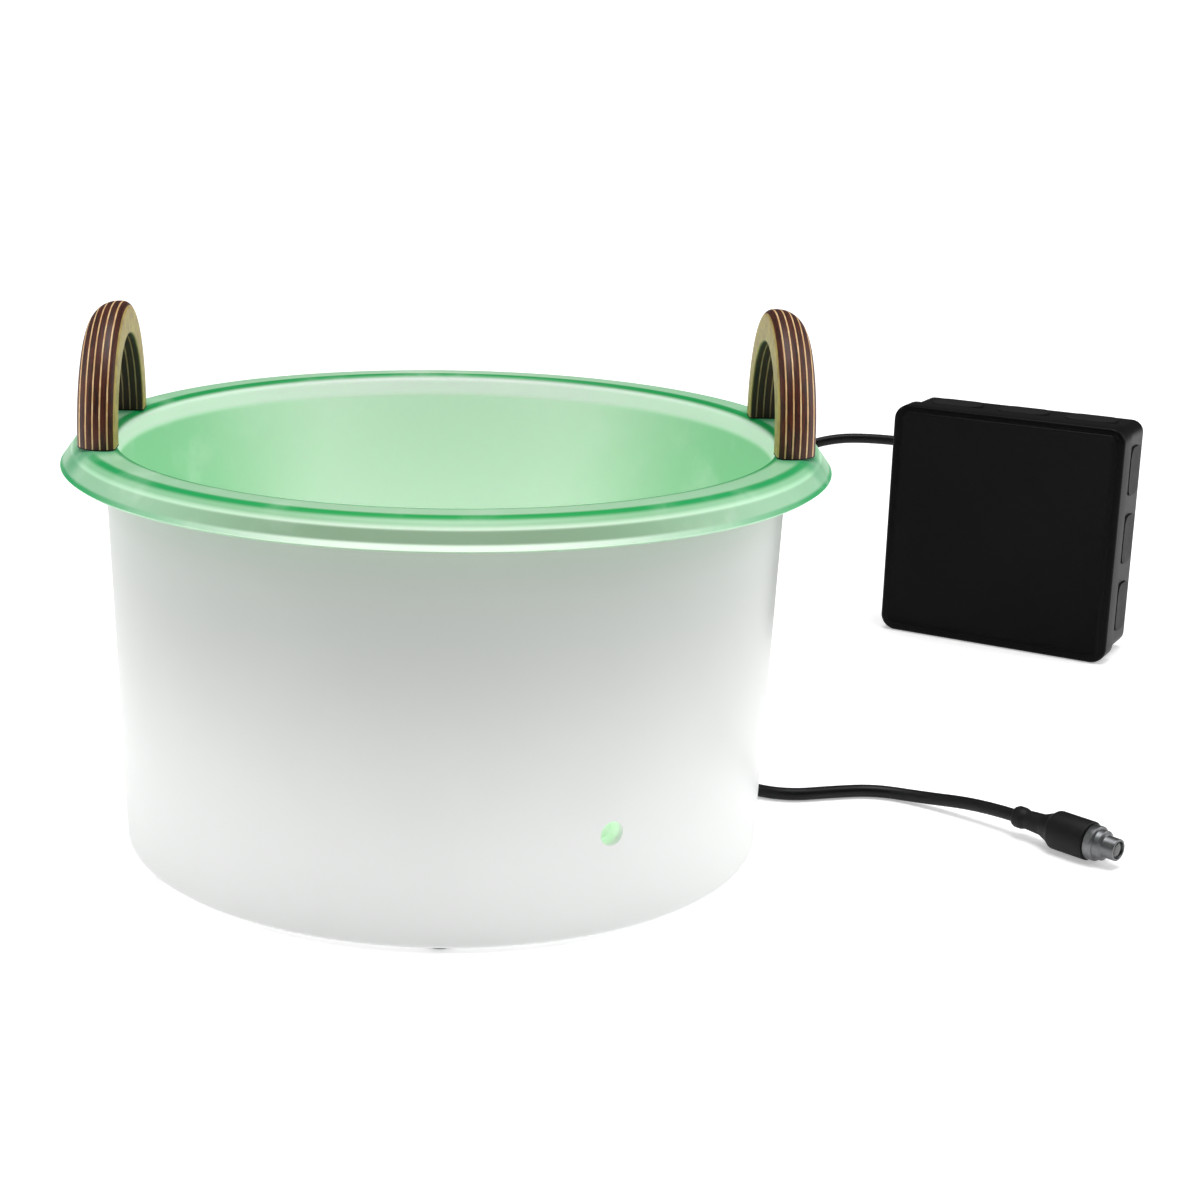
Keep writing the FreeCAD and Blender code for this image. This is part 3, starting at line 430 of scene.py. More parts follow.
class BathSizes(bpy.types.PropertyGroup):
    """Sizes of the visible pieces."""

    round_steps: IntProperty(
        name="Round steps", description="Sides of a full turn of the drum and bowl", default=192
    )
    sheet: length_property("Sheet", "Thickness of the bowl's sheet", 0.0035)
    drum_wall: length_property("Drum wall", "Thickness of the drum's wall", 0.004)
    handle_inside: length_property("Handle inside", "Distance of the inner face from the axis", 0.1855)
    handle_thickness: length_property("Handle thickness", "Thickness of the plywood", 0.023)
    handle_outer: length_property("Arch outside", "Outer radius of the arch", 0.070)
    handle_inner: length_property("Arch inside", "Inner radius of the arch", 0.051)
    box_width: length_property("Box width", "Width of the supply box", 0.182)
    box_height: length_property("Box height", "Height of the supply box", 0.184)
    box_depth: length_property("Box depth", "Depth of the supply box", 0.062)
    nose_middle: length_property("Nose middle", "Distance from the head's cord end to its nose", 0.0685)
    lead_diameter: length_property("Lead", "Diameter of the lead", 0.008)
    lead_length: length_property("Lead length", "Length of the whole lead", 1.89)


class BathColours(bpy.types.PropertyGroup):
    """Colours of the finishes."""

    drum: colour_property("Drum", "White of the drum", linear(250, 251, 250))
    bowl: colour_property("Bowl", "Green of the bowl's inside", linear(226, 246, 227))
    # The bends' deep green is the sheet's own green, painted deeper for light that runs along the sheet
    # there.
    bowl_bend: colour_property("Bends", "Deep green where the sheet bends", linear(20, 158, 88))
    dark_ply: colour_property("Dark ply", "Dark layers of the handles", linear(92, 36, 14))
    light_ply: colour_property("Light ply", "Light layers of the handles", linear(252, 218, 164))
    box: colour_property("Box", "Black of the supply box", linear(11, 11, 11))
    lead: colour_property("Lead", "Black of the lead", linear(5, 5, 6))


# ---------------------------------------------------------------- drum

DRUM_FOOT_RADIUS = 0.1915
LEDGE_WIDTH = 0.016
PORT_RADIUS = 0.007
PORT_CUT = 0.04


def drum_finish(colours):
    """Satin white with a faint orange peel, with painted shade: greyer towards the top, and green-tinted
    under the rim.
    """
    finish = Finish("drum_white")
    cloud = finish.noise(7.0, 3.0)
    peel = finish.noise(700.0, 2.0)
    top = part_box("drum_shell")[1].z
    plain = finish.mix(cloud.between(0.3, 0.7), linear(246, 247, 246), tuple(colours.drum))
    # Painted shade: a green-tinted shade under the bowl's rim, and the drum greyer towards its top.
    painted_rim_shade = finish.z.between(top - 0.04, top)
    rim_shaded = finish.mix(painted_rim_shade * 0.4, plain, linear(224, 236, 222))
    shade = finish.mix(finish.z.between(0.02, top), linear(255, 255, 255), linear(208, 211, 208))
    colour = finish.mix(1.0, rim_shaded, shade, "MULTIPLY")
    finish.shade(Base_Color=colour, Roughness=0.34 + (cloud - 0.5) * 0.08)
    finish.bump(peel, 0.08, 0.0002)
    return finish.material


def port_finish():
    """Milky green plastic with a painted glow: it gives a little light of its own in the port."""
    finish = Finish("port_green")
    cloud = finish.noise(300.0, 3.0)
    colour = finish.mix(cloud.between(0.3, 0.7), linear(214, 240, 214), linear(226, 246, 226))
    # Painted glow: the cup gives light of its own though it holds no lamp.
    finish.shade(
        Base_Color=colour,
        Emission_Color=colour,
        Emission_Strength=0.25,
        Roughness=0.35 + (cloud - 0.5) * 0.1,
    )
    return finish.material


def drum_section(wall):
    """Half of the drum, cut through its axis: the ledge at its foot, the tapered wall and its top edge."""
    low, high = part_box("drum_shell")
    plate_low, plate_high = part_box("drum_base_plate")
    taper = (high.x - DRUM_FOOT_RADIUS) / high.z
    bottom = DRUM_FOOT_RADIUS + taper * low.z
    ledge = plate_high.x - LEDGE_WIDTH
    return section(
        [
            (ledge, low.z, 0.0005, 2),
            (bottom, low.z, 0.003, 6),
            (high.x, high.z, 0.0006, 3),
            (high.x - wall, high.z, 0.0006, 3),
            (bottom - wall, plate_low.z, 0.001, 3),
            (ledge, plate_low.z, 0.0005, 2),
        ],
        closed=True,
    )


def cut_port(drum):
    """Cuts the port through the drum's wall."""
    middle, along = mount("light_port")
    bm = bmesh.new()
    bmesh.ops.create_cone(
        bm, cap_ends=True, segments=64, radius1=PORT_RADIUS, radius2=PORT_RADIUS, depth=PORT_CUT
    )
    placed = axes_matrix(middle, UP.cross(along), UP, along)
    bmesh.ops.transform(bm, matrix=placed, verts=bm.verts[:])
    bmesh.ops.recalc_face_normals(bm, faces=bm.faces[:])
    cutter = add_object("port_cutter", mesh_from("port_cutter", bm))
    cut = drum.modifiers.new("port", "BOOLEAN")
    cut.object = cutter
    cut.operation = "DIFFERENCE"
    cut.solver = "EXACT"
    graph = bpy.context.evaluated_depsgraph_get()
    result = bpy.data.meshes.new_from_object(drum.evaluated_get(graph))
    drum.modifiers.clear()
    drum.data = result
    result.set_sharp_from_angle(angle=SHARP_ANGLE)
    bpy.data.objects.remove(cutter)


class BuildDrum(bpy.types.Operator):
    """Drum with its light port, ring, feet and base"""

    bl_idname = "bath.drum"
    bl_label = "Drum"

    def execute(self, context):
        sizes = context.scene.bath_sizes
        white = drum_finish(context.scene.bath_colours)
        bm = drum_section(sizes.drum_wall)
        spin(bm, (0, 0, 0), UP, sizes.round_steps)
        drum = piece("drum_shell_visible", bm, white, "drum", ["drum_shell"])
        cut_port(drum)
        dress(white, "drum_base_plate")
        dress(rubber("ring_silicone", linear(214, 222, 214), 0.45), "rim_ring")
        dress(rubber("foot_rubber", linear(26, 26, 26), 0.7), "drum_feet", "centre_foot")
        dress(turned_metal("base_screw_steel", linear(170, 172, 176), 0.35), "base_screws")
        dress(port_finish(), "light_port_cup")
        return {"FINISHED"}


# ---------------------------------------------------------------- bowl

# The bowl's outline: how far in from the rim's edge its wall meets the flange, how much further out the
# corner there stands, the wall's and the skirt's slopes, the skirt's height, and the bends' radii.
WALL_INSET = 0.0333
CORNER_LEAN = 0.0006
WALL_DRAFT = math.radians(5.1)
SKIRT_SLOPE = math.radians(54)
SKIRT_DROP = 0.0146
FLOOR_BEND = 0.060
RIM_BEND = 0.0055
SHOULDER_BEND = 0.0109

# Zones of the bowl's colour, each from where it starts to where it is full, going up or outwards: down
# from the rim's top, or in from the rim's edge. The skirt lies below SKIRT_DOWN.
# Painted glow: near white low on the inside wall, fading to the bowl's green higher up.
GLOW_DOWN = (0.13, 0.02)
WALL_DOWN = (0.165, 0.120)
# Painted highlight: a near-white band just below the rim's top.
HIGHLIGHT_BAND_DOWN = (0.0150, 0.0105)
SKIRT_DOWN = (0.0068, 0.0052)
FLAT_IN = (0.0300, 0.0280)
SHOULDER_IN = (0.0115, 0.0095)
SKIRT_IN = (0.0070, 0.0062)

# Lines round the bowl's rim: in from its edge, down from its top, and their width.
# The bends' deep green lines: the sheet's own green, painted deeper for light that runs along the sheet
# there.
INNER_LINE = (0.0300, 0.0003, 0.0042)
OUTER_LINE = (0.0126, 0.0002, 0.0042)
# A painted highlight along the rim's shoulder, below its top.
PAINTED_HIGHLIGHT = (0.0050, 0.0048, 0.0038)
# The cut edge: a painted highlight at the front and back, deep green at the sides.
CUT_EDGE = (0.0010, 0.0138, 0.0026)

# Painted shade and reflection in dark green round a handle's foot: full within the first distance from its
# middle, gone past the second.
FOOT_SHADE = (0.010, 0.027)


def bowl_finish(colours, sizes):
    """Frosted green sheet with painted light: pale where flat, deeper to the left and right, deepest along
    its bends.
    """
    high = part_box("bowl")[1]
    finish = Finish("bowl_green_sheet")
    r = finish.radius()
    z = finish.z
    sideways = abs(finish.x) / r
    aside = sideways.between(0.15, 0.95)
    far_aside = sideways.between(0.35, 1.0)
    frost = finish.noise(26.0, 4.0)
    fine = finish.noise(1600.0, 2.0)

    def down(zone):
        return z.between(high.z - zone[0], high.z - zone[1])

    def inward(zone):
        return r.between(high.x - zone[0], high.x - zone[1])

    def line(place):
        return finish.near(r, z, high.x - place[0], high.z - place[1], place[2])

    def tone(front, side, share=1.0):
        """One green at the front and back, and share of another at the sides, painted there for the sheet's
        deeper look at a slant.
        """
        return finish.mix(aside * share, front, side)

    on_wall = down(WALL_DOWN)
    # Painted glow: near white low on the wall, turning to the bowl's green towards the rim.
    colour = finish.mix(down(GLOW_DOWN), linear(244, 254, 243), tuple(colours.bowl))
    # Painted deeper green on the wall's far left and right, for light that crosses the sheet at a slant
    # there.
    colour = finish.mix(far_aside * on_wall * 0.8, colour, linear(108, 200, 136))
    colour = finish.mix(on_wall, linear(176, 220, 184), colour)
    # Painted highlight: a near-white band just below the rim, deeper green at the sides.
    colour = finish.mix(down(HIGHLIGHT_BAND_DOWN), colour, tone(linear(255, 255, 254), linear(196, 236, 204), 0.6))
    flat = inward(FLAT_IN)
    colour = finish.mix(flat, colour, tone(linear(164, 204, 169), linear(134, 194, 149), 0.6))
    colour = finish.mix(inward(SHOULDER_IN), colour, tone(linear(146, 198, 154), linear(126, 194, 146), 0.5))
    # Painted highlight along the rim's shoulder.
    colour = finish.mix(line(PAINTED_HIGHLIGHT), colour, tone(linear(232, 252, 232), linear(182, 228, 192)))
    # Painted shade on the skirt: grey-green at the front, for the dark gap under it seen through the sheet.
    skirt = (1 - down(SKIRT_DOWN)) * inward(SKIRT_IN)
    colour = finish.mix(skirt, colour, tone(linear(136, 166, 136), linear(146, 196, 158)))
    # Deep green along the bends: the sheet's green, painted deeper for light that runs along the sheet.
    colour = finish.mix(line(INNER_LINE), colour, linear(8, 148, 74))
    colour = finish.mix(line(OUTER_LINE), colour, tone(linear(4, 160, 76), tuple(colours.bowl_bend)))
    # Painted highlight on the cut edge at the front and back, deep green at the sides.
    colour = finish.mix(line(CUT_EDGE), colour, tone(linear(240, 255, 240), tuple(colours.bowl_bend)))
    from_foot_x = abs(finish.x) - (sizes.handle_inside + sizes.handle_thickness / 2)
    from_foot_y = abs(finish.y) - (sizes.handle_outer + sizes.handle_inner) / 2
    from_foot = (from_foot_x * from_foot_x + from_foot_y * from_foot_y).math("SQRT")
    # Painted shade and reflection of the handle round each foot on the flange.
    painted_foot_shade = (1 - from_foot.between(*FOOT_SHADE)) * flat
    colour = finish.mix(painted_foot_shade * 0.75, colour, linear(30, 150, 92))
    colour = finish.mix((frost - 0.5).between(0.0, 0.3) * 0.25, colour, linear(236, 250, 236))
    # Painted glow: the sheet gives a little light of its own.
    finish.shade(
        Base_Color=colour,
        Emission_Color=colour,
        Emission_Strength=0.18,
        Roughness=0.4 + (frost - 0.5) * 0.12,
        Subsurface_Weight=0.25,
        Subsurface_Radius=(0.4, 1.0, 0.5),
        Subsurface_Scale=0.003,
    )
    finish.bump(fine, 0.05, 0.0001)
    return finish.material


def flip_if_down(bm):
    """Turns an open shell's faces so that its floor faces up."""
    bm.normal_update()
    lowest = min(bm.faces, key=lambda f: f.calc_center_median().z)
    if lowest.normal.z < 0:
        bmesh.ops.reverse_faces(bm, faces=bm.faces[:])


class BuildBowl(bpy.types.Operator):
    """Bowl with its formed rim"""

    bl_idname = "bath.bowl"
    bl_label = "Bowl"

    def execute(self, context):
        sizes = context.scene.bath_sizes
        low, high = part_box("bowl")
        rim = high.x
        top = high.z
        floor = low.z + sizes.sheet
        wall_top = rim - WALL_INSET
        wall_foot = wall_top - (top - floor) * math.tan(WALL_DRAFT)
        bm = section(
            [
                (0.0, floor),
                (wall_foot, floor, FLOOR_BEND, 20),
                (wall_top + CORNER_LEAN, top, RIM_BEND, 8),
                (rim - SKIRT_DROP / math.tan(SKIRT_SLOPE), top, SHOULDER_BEND, 10),
                (rim, top - SKIRT_DROP),
            ]
        )
        spin(bm, (0, 0, 0), UP, sizes.round_steps)
        flip_if_down(bm)
        bmesh.ops.solidify(bm, geom=bm.faces[:], thickness=sizes.sheet)
        finish = bowl_finish(context.scene.bath_colours, sizes)
        piece("bowl_visible", bm, finish, "bowl", ["bowl"])
        return {"FINISHED"}


# ---------------------------------------------------------------- handles

ARCH_STEPS = 72
SMALL_ROUND = 0.0015
OUTSIDE_ROUND = 0.016
INSIDE_ROUND = 0.005

# Plies, in millimetres across the handle: where the first begins, how far one pair of plies is from the
# next, how much they waver, and how deep the two faces are.
FIRST_PLY = 0.3
PLY_PITCH = 4.15
PLY_WAVER = 0.35
FACE_PLY = (0.55, 0.85)
FACE_DEPTH = (0.8, 0.5)

# Share of a pair of plies at which the light one begins and ends.
LIGHT_START = (0.73, 0.79)
LIGHT_END = (0.93, 0.99)


def plywood_finish(colours, sizes):
    """Thick dark plies and thin light ones across the handle, with fibres, pores, an oiled sheen and painted
    shade inside the arch.
    """
    finish = Finish("laminated_plywood")
    depth = (abs(finish.x) - sizes.handle_inside) * 1000.0
    thickness = sizes.handle_thickness * 1000.0
    waver = (finish.noise(55.0, 2.0) - 0.5) * PLY_WAVER
    phase = ((depth - FIRST_PLY + waver) / PLY_PITCH).math("FRACT")
    light = phase.between(*LIGHT_START) * (1 - phase.between(*LIGHT_END))
    fibre = finish.noise(900.0, 4.0, 0.7, finish.stretched((1.0, 0.12, 0.12)))
    streak = finish.noise(130.0, 5.0, 0.75, finish.stretched((6.0, 0.6, 0.6)))
    dark = finish.mix(streak.between(0.32, 0.68), linear(28, 8, 3), tuple(colours.dark_ply))
    dark = finish.mix(fibre.between(0.55, 0.85) * 0.5, dark, linear(140, 70, 32))
    pale = finish.mix(fibre.between(0.35, 0.7), linear(214, 166, 108), tuple(colours.light_ply))
    colour = finish.mix(light, dark, pale)
    ochre = finish.mix(fibre.between(0.3, 0.7), linear(168, 132, 66), linear(206, 176, 98))
    colour = finish.mix(1 - depth.between(*FACE_PLY), colour, ochre)
    tan = finish.mix(fibre.between(0.3, 0.7), linear(150, 100, 60), linear(190, 140, 92))
    colour = finish.mix(depth.between(thickness - FACE_DEPTH[0], thickness - FACE_DEPTH[1]), colour, tan)
    # Painted shade: the arch's inside surface made nearly black.
    colour = finish.mix(painted_arch_shade(finish, sizes) * 0.72, colour, linear(10, 9, 4))
    finish.shade(
        Base_Color=colour,
        Roughness=0.5 + (fibre - 0.5) * 0.25,
        Specular_IOR_Level=0.35,
        Coat_Roughness=0.3,
        Coat_Weight=0.05,
    )
    finish.bump(fibre * 0.5 + light * 0.8, 0.35, 0.0002)
    return finish.material


def painted_arch_shade(finish, sizes):
    """1 on the arch's inside surface, where shade is painted, and 0 just outside it."""
    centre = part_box("right_handle")[1].z - sizes.handle_outer
    rise = (finish.z - centre).math("MAXIMUM", 0.0)
    from_middle = (finish.y * finish.y + rise * rise).math("SQRT")
    return 1 - from_middle.between(sizes.handle_inner + 0.0002, sizes.handle_inner + 0.0014)


def handle_arch(sizes, side, low, high):
    """A half turn of the handle's section, drawn down to its two feet."""
    centre = high.z - sizes.handle_outer
    near = side * sizes.handle_inside
    far = side * (sizes.handle_inside + sizes.handle_thickness)
    inner = centre + sizes.handle_inner
    bm = section(
        [
            (near, inner, SMALL_ROUND, 4),
            (far, inner, SMALL_ROUND, 4),
            (far, high.z, OUTSIDE_ROUND, 12),
            (near, high.z, INSIDE_ROUND, 7),
        ],
        closed=True,
    )
    quarter_turn = Matrix.Rotation(math.pi / 2, 3, "X")
    bmesh.ops.rotate(bm, cent=(0, 0, centre), matrix=quarter_turn, verts=bm.verts[:])
    spin(bm, (0, 0, centre), (1, 0, 0), ARCH_STEPS, -math.pi)
    extrude_by(bm, [e for e in bm.edges if e.is_boundary], (0, 0, low.z - centre))
    bmesh.ops.holes_fill(bm, edges=[e for e in bm.edges if e.is_boundary], sides=0)
    clean(bm)
    return bm


class BuildHandles(bpy.types.Operator):
    """Two plywood arches with their gaskets, inserts, washers and screws"""

    bl_idname = "bath.handles"
    bl_label = "Handles"

    def execute(self, context):
        sizes = context.scene.bath_sizes
        finish = plywood_finish(context.scene.bath_colours, sizes)
        for side, node in ((-1, "left_handle"), (1, "right_handle")):
            low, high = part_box(node)
            bm = handle_arch(sizes, side, low, high)
            piece(node + "_plywood", bm, finish, "bowl", [node])
        steel = turned_metal("handle_screw_steel", linear(178, 180, 184), 0.3)
        dress(rubber("gasket_rubber", linear(30, 34, 30), 0.6), "foot_gaskets")
        dress(turned_metal("insert_brass", linear(196, 158, 88), 0.3), "threaded_inserts")
        dress(steel, "handle_screws", "handle_washers")
        return {"FINISHED"}


# ---------------------------------------------------------------- light head

# Places along the head from its cord end, and radii, in metres.
LEAD_DEPTH = 0.0120
LEAD_BORE = 0.00402
WIRE_BORE = 0.0026
NECK_RADIUS = 0.0059
CUFF_RADIUS = 0.0068
BOOT_RADIUS = 0.0120
BOOT_END = 0.0540
CORE_START = 0.0340
CORE_BORE = 0.0086
CORE_RADIUS = 0.0084
FIT = 0.0001
COLLAR_RADIUS = 0.0108
COLLAR_END = 0.0600
STEP_RADIUS = 0.0092
STEP_END = 0.0640
NOSE_RADIUS = 0.0068
NOSE_END = 0.0725
LENS_SEAT = 0.0644
LENS_BORE = 0.0054
LENS_RADIUS = 0.0053
LENS_START = 0.0669
LENS_TIP = 0.0719


def boot():
    """Rubber boot: a cuff and a neck where the lead enters, then a full body over the barrel's core."""
    bm = section(
        [
            (0.0, LEAD_BORE),
            (0.0, 0.0056, 0.0010, 3),
            (0.0022, CUFF_RADIUS, 0.0008, 3),
            (0.0062, CUFF_RADIUS, 0.0012, 4),
            (0.0090, NECK_RADIUS, 0.0030, 4),
            (0.0200, 0.0067, 0.0030, 4),
            (0.0265, 0.0094, 0.0020, 4),
            (0.0300, BOOT_RADIUS, 0.0022, 5),
            (BOOT_END, BOOT_RADIUS, 0.0009, 4),
            (BOOT_END, CORE_BORE),
            (CORE_START, CORE_BORE),
            (CORE_START, WIRE_BORE),
            (LEAD_DEPTH, WIRE_BORE),
            (LEAD_DEPTH, LEAD_BORE),
        ],
        closed=True,
    )
    spin(bm, (0, 0, 0), (1, 0, 0), 64)
    return bm


def barrel():
    """Metal barrel: a core inside the boot, then a collar, a step and the nose with the lens's seat."""
    bm = section(
        [
            (CORE_START + FIT, WIRE_BORE),
            (CORE_START + FIT, CORE_RADIUS),
            (BOOT_END + FIT, CORE_RADIUS),
            (BOOT_END + FIT, COLLAR_RADIUS, 0.0005, 3),
            (COLLAR_END - 0.0008, COLLAR_RADIUS, 0.0004, 3),
            (COLLAR_END, COLLAR_RADIUS - 0.0010, 0.0003, 2),
            (COLLAR_END, STEP_RADIUS, 0.0003, 2),
            (STEP_END - 0.0006, STEP_RADIUS, 0.0004, 3),
            (STEP_END, (STEP_RADIUS + NOSE_RADIUS) / 2, 0.0003, 2),
            (STEP_END + 0.0006, NOSE_RADIUS, 0.0003, 2),
            (NOSE_END, NOSE_RADIUS, 0.0006, 4),
            (NOSE_END, LENS_BORE, 0.0003, 2),
            (LENS_SEAT, LENS_BORE),
            (LENS_SEAT, WIRE_BORE),
        ],
        closed=True,
    )
    spin(bm, (0, 0, 0), (1, 0, 0), 64)
    return bm


def lens():
    """Domed lens in the nose."""
    bm = section(
        [
            (LENS_START, 0.0),
            (LENS_START, LENS_RADIUS),
            (LENS_TIP - 0.0009, LENS_RADIUS, 0.0004, 3),
            (LENS_TIP, 0.0030, 0.004, 6),
            (LENS_TIP, 0.0),
        ]
    )
    spin(bm, (0, 0, 0), (1, 0, 0), 48)
    return bm


def lens_finish():
    """Dark glass over the light source."""
    finish = Finish("lens_glass")
    smear = finish.noise(400.0, 2.0)
    finish.shade(
        Base_Color=finish.mix(smear, linear(22, 23, 24), linear(34, 35, 37)),
        Roughness=0.06 + smear * 0.08,
        Coat_Weight=0.5,
    )
    return finish.material


class BuildHead(bpy.types.Operator):
    """Light head: boot, barrel, lens and light source"""

    bl_idname = "bath.head"
    bl_label = "Light head"

    def execute(self, context):
        placed = head_matrix()
        along = tuple(placed.col[0][:3])
        black = rubber("boot_rubber", linear(9, 9, 10), 0.55)
        steel = turned_metal("barrel_steel", linear(126, 127, 129), 0.4, along, 9000.0)
        board = moulded_plastic("circuit_board", linear(30, 90, 50), linear(24, 70, 40), 0.4, 900)
        phosphor = moulded_plastic("phosphor", linear(236, 214, 90), linear(220, 196, 70), 0.5, 900)
        sheath = moulded_plastic("wire_sheath", linear(150, 40, 34), linear(120, 30, 26), 0.45, 900)
        piece("head_boot_visible", boot(), black, "drum", ["head_boot"], placed)
        piece("head_barrel_visible", barrel(), steel, "drum", ["head_barrel"], placed)
        piece("head_lens_visible", lens(), lens_finish(), "drum", ["head_lens"], placed)
        dress(board, "led_board")
        dress(phosphor, "led_chip")
        dress(sheath, "head_wires")
        return {"FINISHED"}


# ---------------------------------------------------------------- supply box

LID_DEPTH = 0.020
LID_CORNER = 0.012
LID_EDGE = 0.003
PANEL_MARGIN = 0.0022

# The lid's steps, each a width and a height: the raised panel with a bead round it on its front, and the
# rim, ledge and hollow on its back.
PANEL_STEPS = ((0.0006, 0.0007), (0.0010, 0.0), (0.0008, -0.0005))
BACK_STEPS = ((0.0024, 0.0), (0.0, -0.0038), (0.0036, 0.0), (0.0, -0.0132))


def box_lid(sizes):
    """Press-on lid: rounded edges, a raised panel with a bead round it, and a hollow back with a step."""
    bm = block((0, 0, 0), (sizes.box_width, LID_DEPTH, sizes.box_height))
    bevel(bm, edges_along(bm, (0, 1, 0)), LID_CORNER, 12, "EDGES")
    front = faces_towards(bm, (0, -1, 0))
    bevel(bm, front[0].edges[:], LID_EDGE, 5, "EDGES")
    front = faces_towards(bm, (0, -1, 0))
    inset(bm, front, [(PANEL_MARGIN, 0.0)])
    inset(bm, front, PANEL_STEPS, even=True)
    inset(bm, faces_towards(bm, (0, 1, 0)), BACK_STEPS)
    bmesh.ops.recalc_face_normals(bm, faces=bm.faces[:])
    return bm


class BuildBox(bpy.types.Operator):
    """Supply box: lid, base, closed entries, grommets and what is inside"""

    bl_idname = "bath.box"
    bl_label = "Supply box"

    def execute(self, context):
        sizes = context.scene.bath_sizes
        colour = tuple(context.scene.bath_colours.box)
        black = moulded_plastic("box_black", colour, linear(8, 8, 8), 0.36, 1500, 0.00012, gloss=0.06)
        membrane = rubber("membrane_rubber", linear(13, 13, 13), 0.6)
        aluminium = turned_metal("plate_aluminium", linear(205, 206, 210), 0.4, (1, 0, 0), 3000.0)
        steel = turned_metal("box_screw_steel", linear(176, 178, 182), 0.3)
        brass = turned_metal("terminal_brass", linear(190, 152, 84), 0.3)
        grey = moulded_plastic("driver_case", linear(205, 206, 204), linear(196, 197, 195), 0.45, 1200)
        nylon = moulded_plastic("terminal_nylon", linear(214, 210, 192), linear(204, 200, 180), 0.4, 1200)
        piece("box_lid_visible", box_lid(sizes), black, "box_lid", ["box_lid"], box_matrix())
        dress(black, "box_base", "cable_clamp")
        dress(membrane, "entry_membranes", "mains_grommet", "lead_grommet")
        dress(rubber("seal_rubber", linear(60, 60, 60), 0.6), "lid_seal")
        dress(aluminium, "mounting_plate")
        dress(steel, "plate_screws", "clamp_screws")
        dress(brass, "terminal_screws")
        dress(grey, "driver_module")
        dress(nylon, "terminal_block")
        dress(bpy.data.materials["wire_sheath"], "inner_wires")
        dress(rubber("tail_jacket", linear(18, 18, 19), 0.5), "lead_tail")
        return {"FINISHED"}


# ---------------------------------------------------------------- lead

# Where the lead leaves the box, in the box's own axes, and how far before and inside the boot its last
# two points are.
BOX_EXIT = (0.0013, 0.041, 0.146)
BEFORE_BOOT = 0.022
INSIDE_BOOT = 0.012

# The lead's route in metres: down from the box, round behind the drum and forward to the head.
BOX_ROUTE = [
    (0.3504, 0.490, 0.146),
    (0.314, 0.502, 0.143),
    (0.277, 0.503, 0.129),
    (0.247, 0.493, 0.105),
    (0.226, 0.474, 0.075),
    (0.212, 0.449, 0.045),
    (0.200, 0.416, 0.020),
    (0.1885, 0.378, 0.0095),
    (0.1775, 0.338, 0.011),
]
HEAD_ROUTE = [
    (0.175, 0.255, 0.0041),
    (0.182, 0.212, 0.0041),
    (0.188, 0.170, 0.0041),
    (0.188, 0.134, 0.0041),
    (0.1845, 0.103, 0.0041),
    (0.184, 0.076, 0.0041),
    (0.198, 0.053, 0.0041),
    (0.222, 0.0435, 0.0041),
    (0.250, 0.0505, 0.0041),
    (0.278, 0.055, 0.0041),
    (0.305, 0.041, 0.0048),
]
COIL_TURNS = 4
COIL_POINTS = 16
CROSSING_SHARE = 0.22

# The strap round the coil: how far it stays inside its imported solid, how high its foot is, its corners'
# radius, its thickness, the number of strips that it is drawn in, and how fine its weave is.
STRAP_INSET = 0.0006
STRAP_FOOT = 0.0007
STRAP_CORNER = 0.0045
STRAP_THICKNESS = 0.0011
STRAP_STRIPS = 8
WEAVE_FINENESS = 5200.0


def coil_points(radius):
    """Two turns side by side and two high, which change places together where the lead joins them."""
    low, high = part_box("lead_coil")
    centre = (low + high) / 2
    outward = (high.x - low.x) / 2 - 2 * radius
    bundle = radius * math.sqrt(2)
    swell = 1 / math.cos(math.pi / COIL_POINTS)
    points = []
    for k in range(COIL_TURNS * COIL_POINTS + 1):
        turns = k / COIL_POINTS
        crossing = min(max(round(turns), 1), COIL_TURNS - 1)
        share = min(max((turns - crossing) / CROSSING_SHARE + 0.5, 0.0), 1.0)
        share = share * share * (3 - 2 * share)
        around = math.radians(45 + 90 * (crossing - 1 + share))
        lift = bundle * (math.sin(math.radians(45 + 90 * share)) - math.sin(math.radians(45)))
        r = (outward + bundle * math.cos(around)) * swell
        angle = -math.tau * turns
        height = centre.z + bundle * math.sin(around) + lift
        points.append((centre.x + r * math.cos(angle), centre.y + r * math.sin(angle), height))
    return points


def lead_curve(points, radius, finish):
    """A round lead along a smooth curve."""
    curve = bpy.data.curves.new("lead", "CURVE")
    curve.dimensions = "3D"
    curve.bevel_depth = radius
    curve.bevel_resolution = 6
    curve.resolution_u = 6
    curve.use_fill_caps = True
    spline = curve.splines.new("NURBS")
    spline.points.add(len(points) - 1)
    for target, place in zip(spline.points, points):
        target.co = (*place, 1)
    spline.order_u = 3
    spline.use_endpoint_u = True
    curve.materials.append(finish)
    return curve


def strap_finish():
    """Black woven strap."""
    finish = Finish("tie_strap")
    weave = (finish.x * WEAVE_FINENESS).math("SINE") * (finish.y * WEAVE_FINENESS).math("SINE")
    colour = finish.mix(weave.between(-1, 1), linear(16, 16, 17), linear(44, 44, 46))
    finish.shade(Base_Color=colour, Roughness=0.8)
    finish.bump(weave, 0.4, 0.0002)
    return finish.material


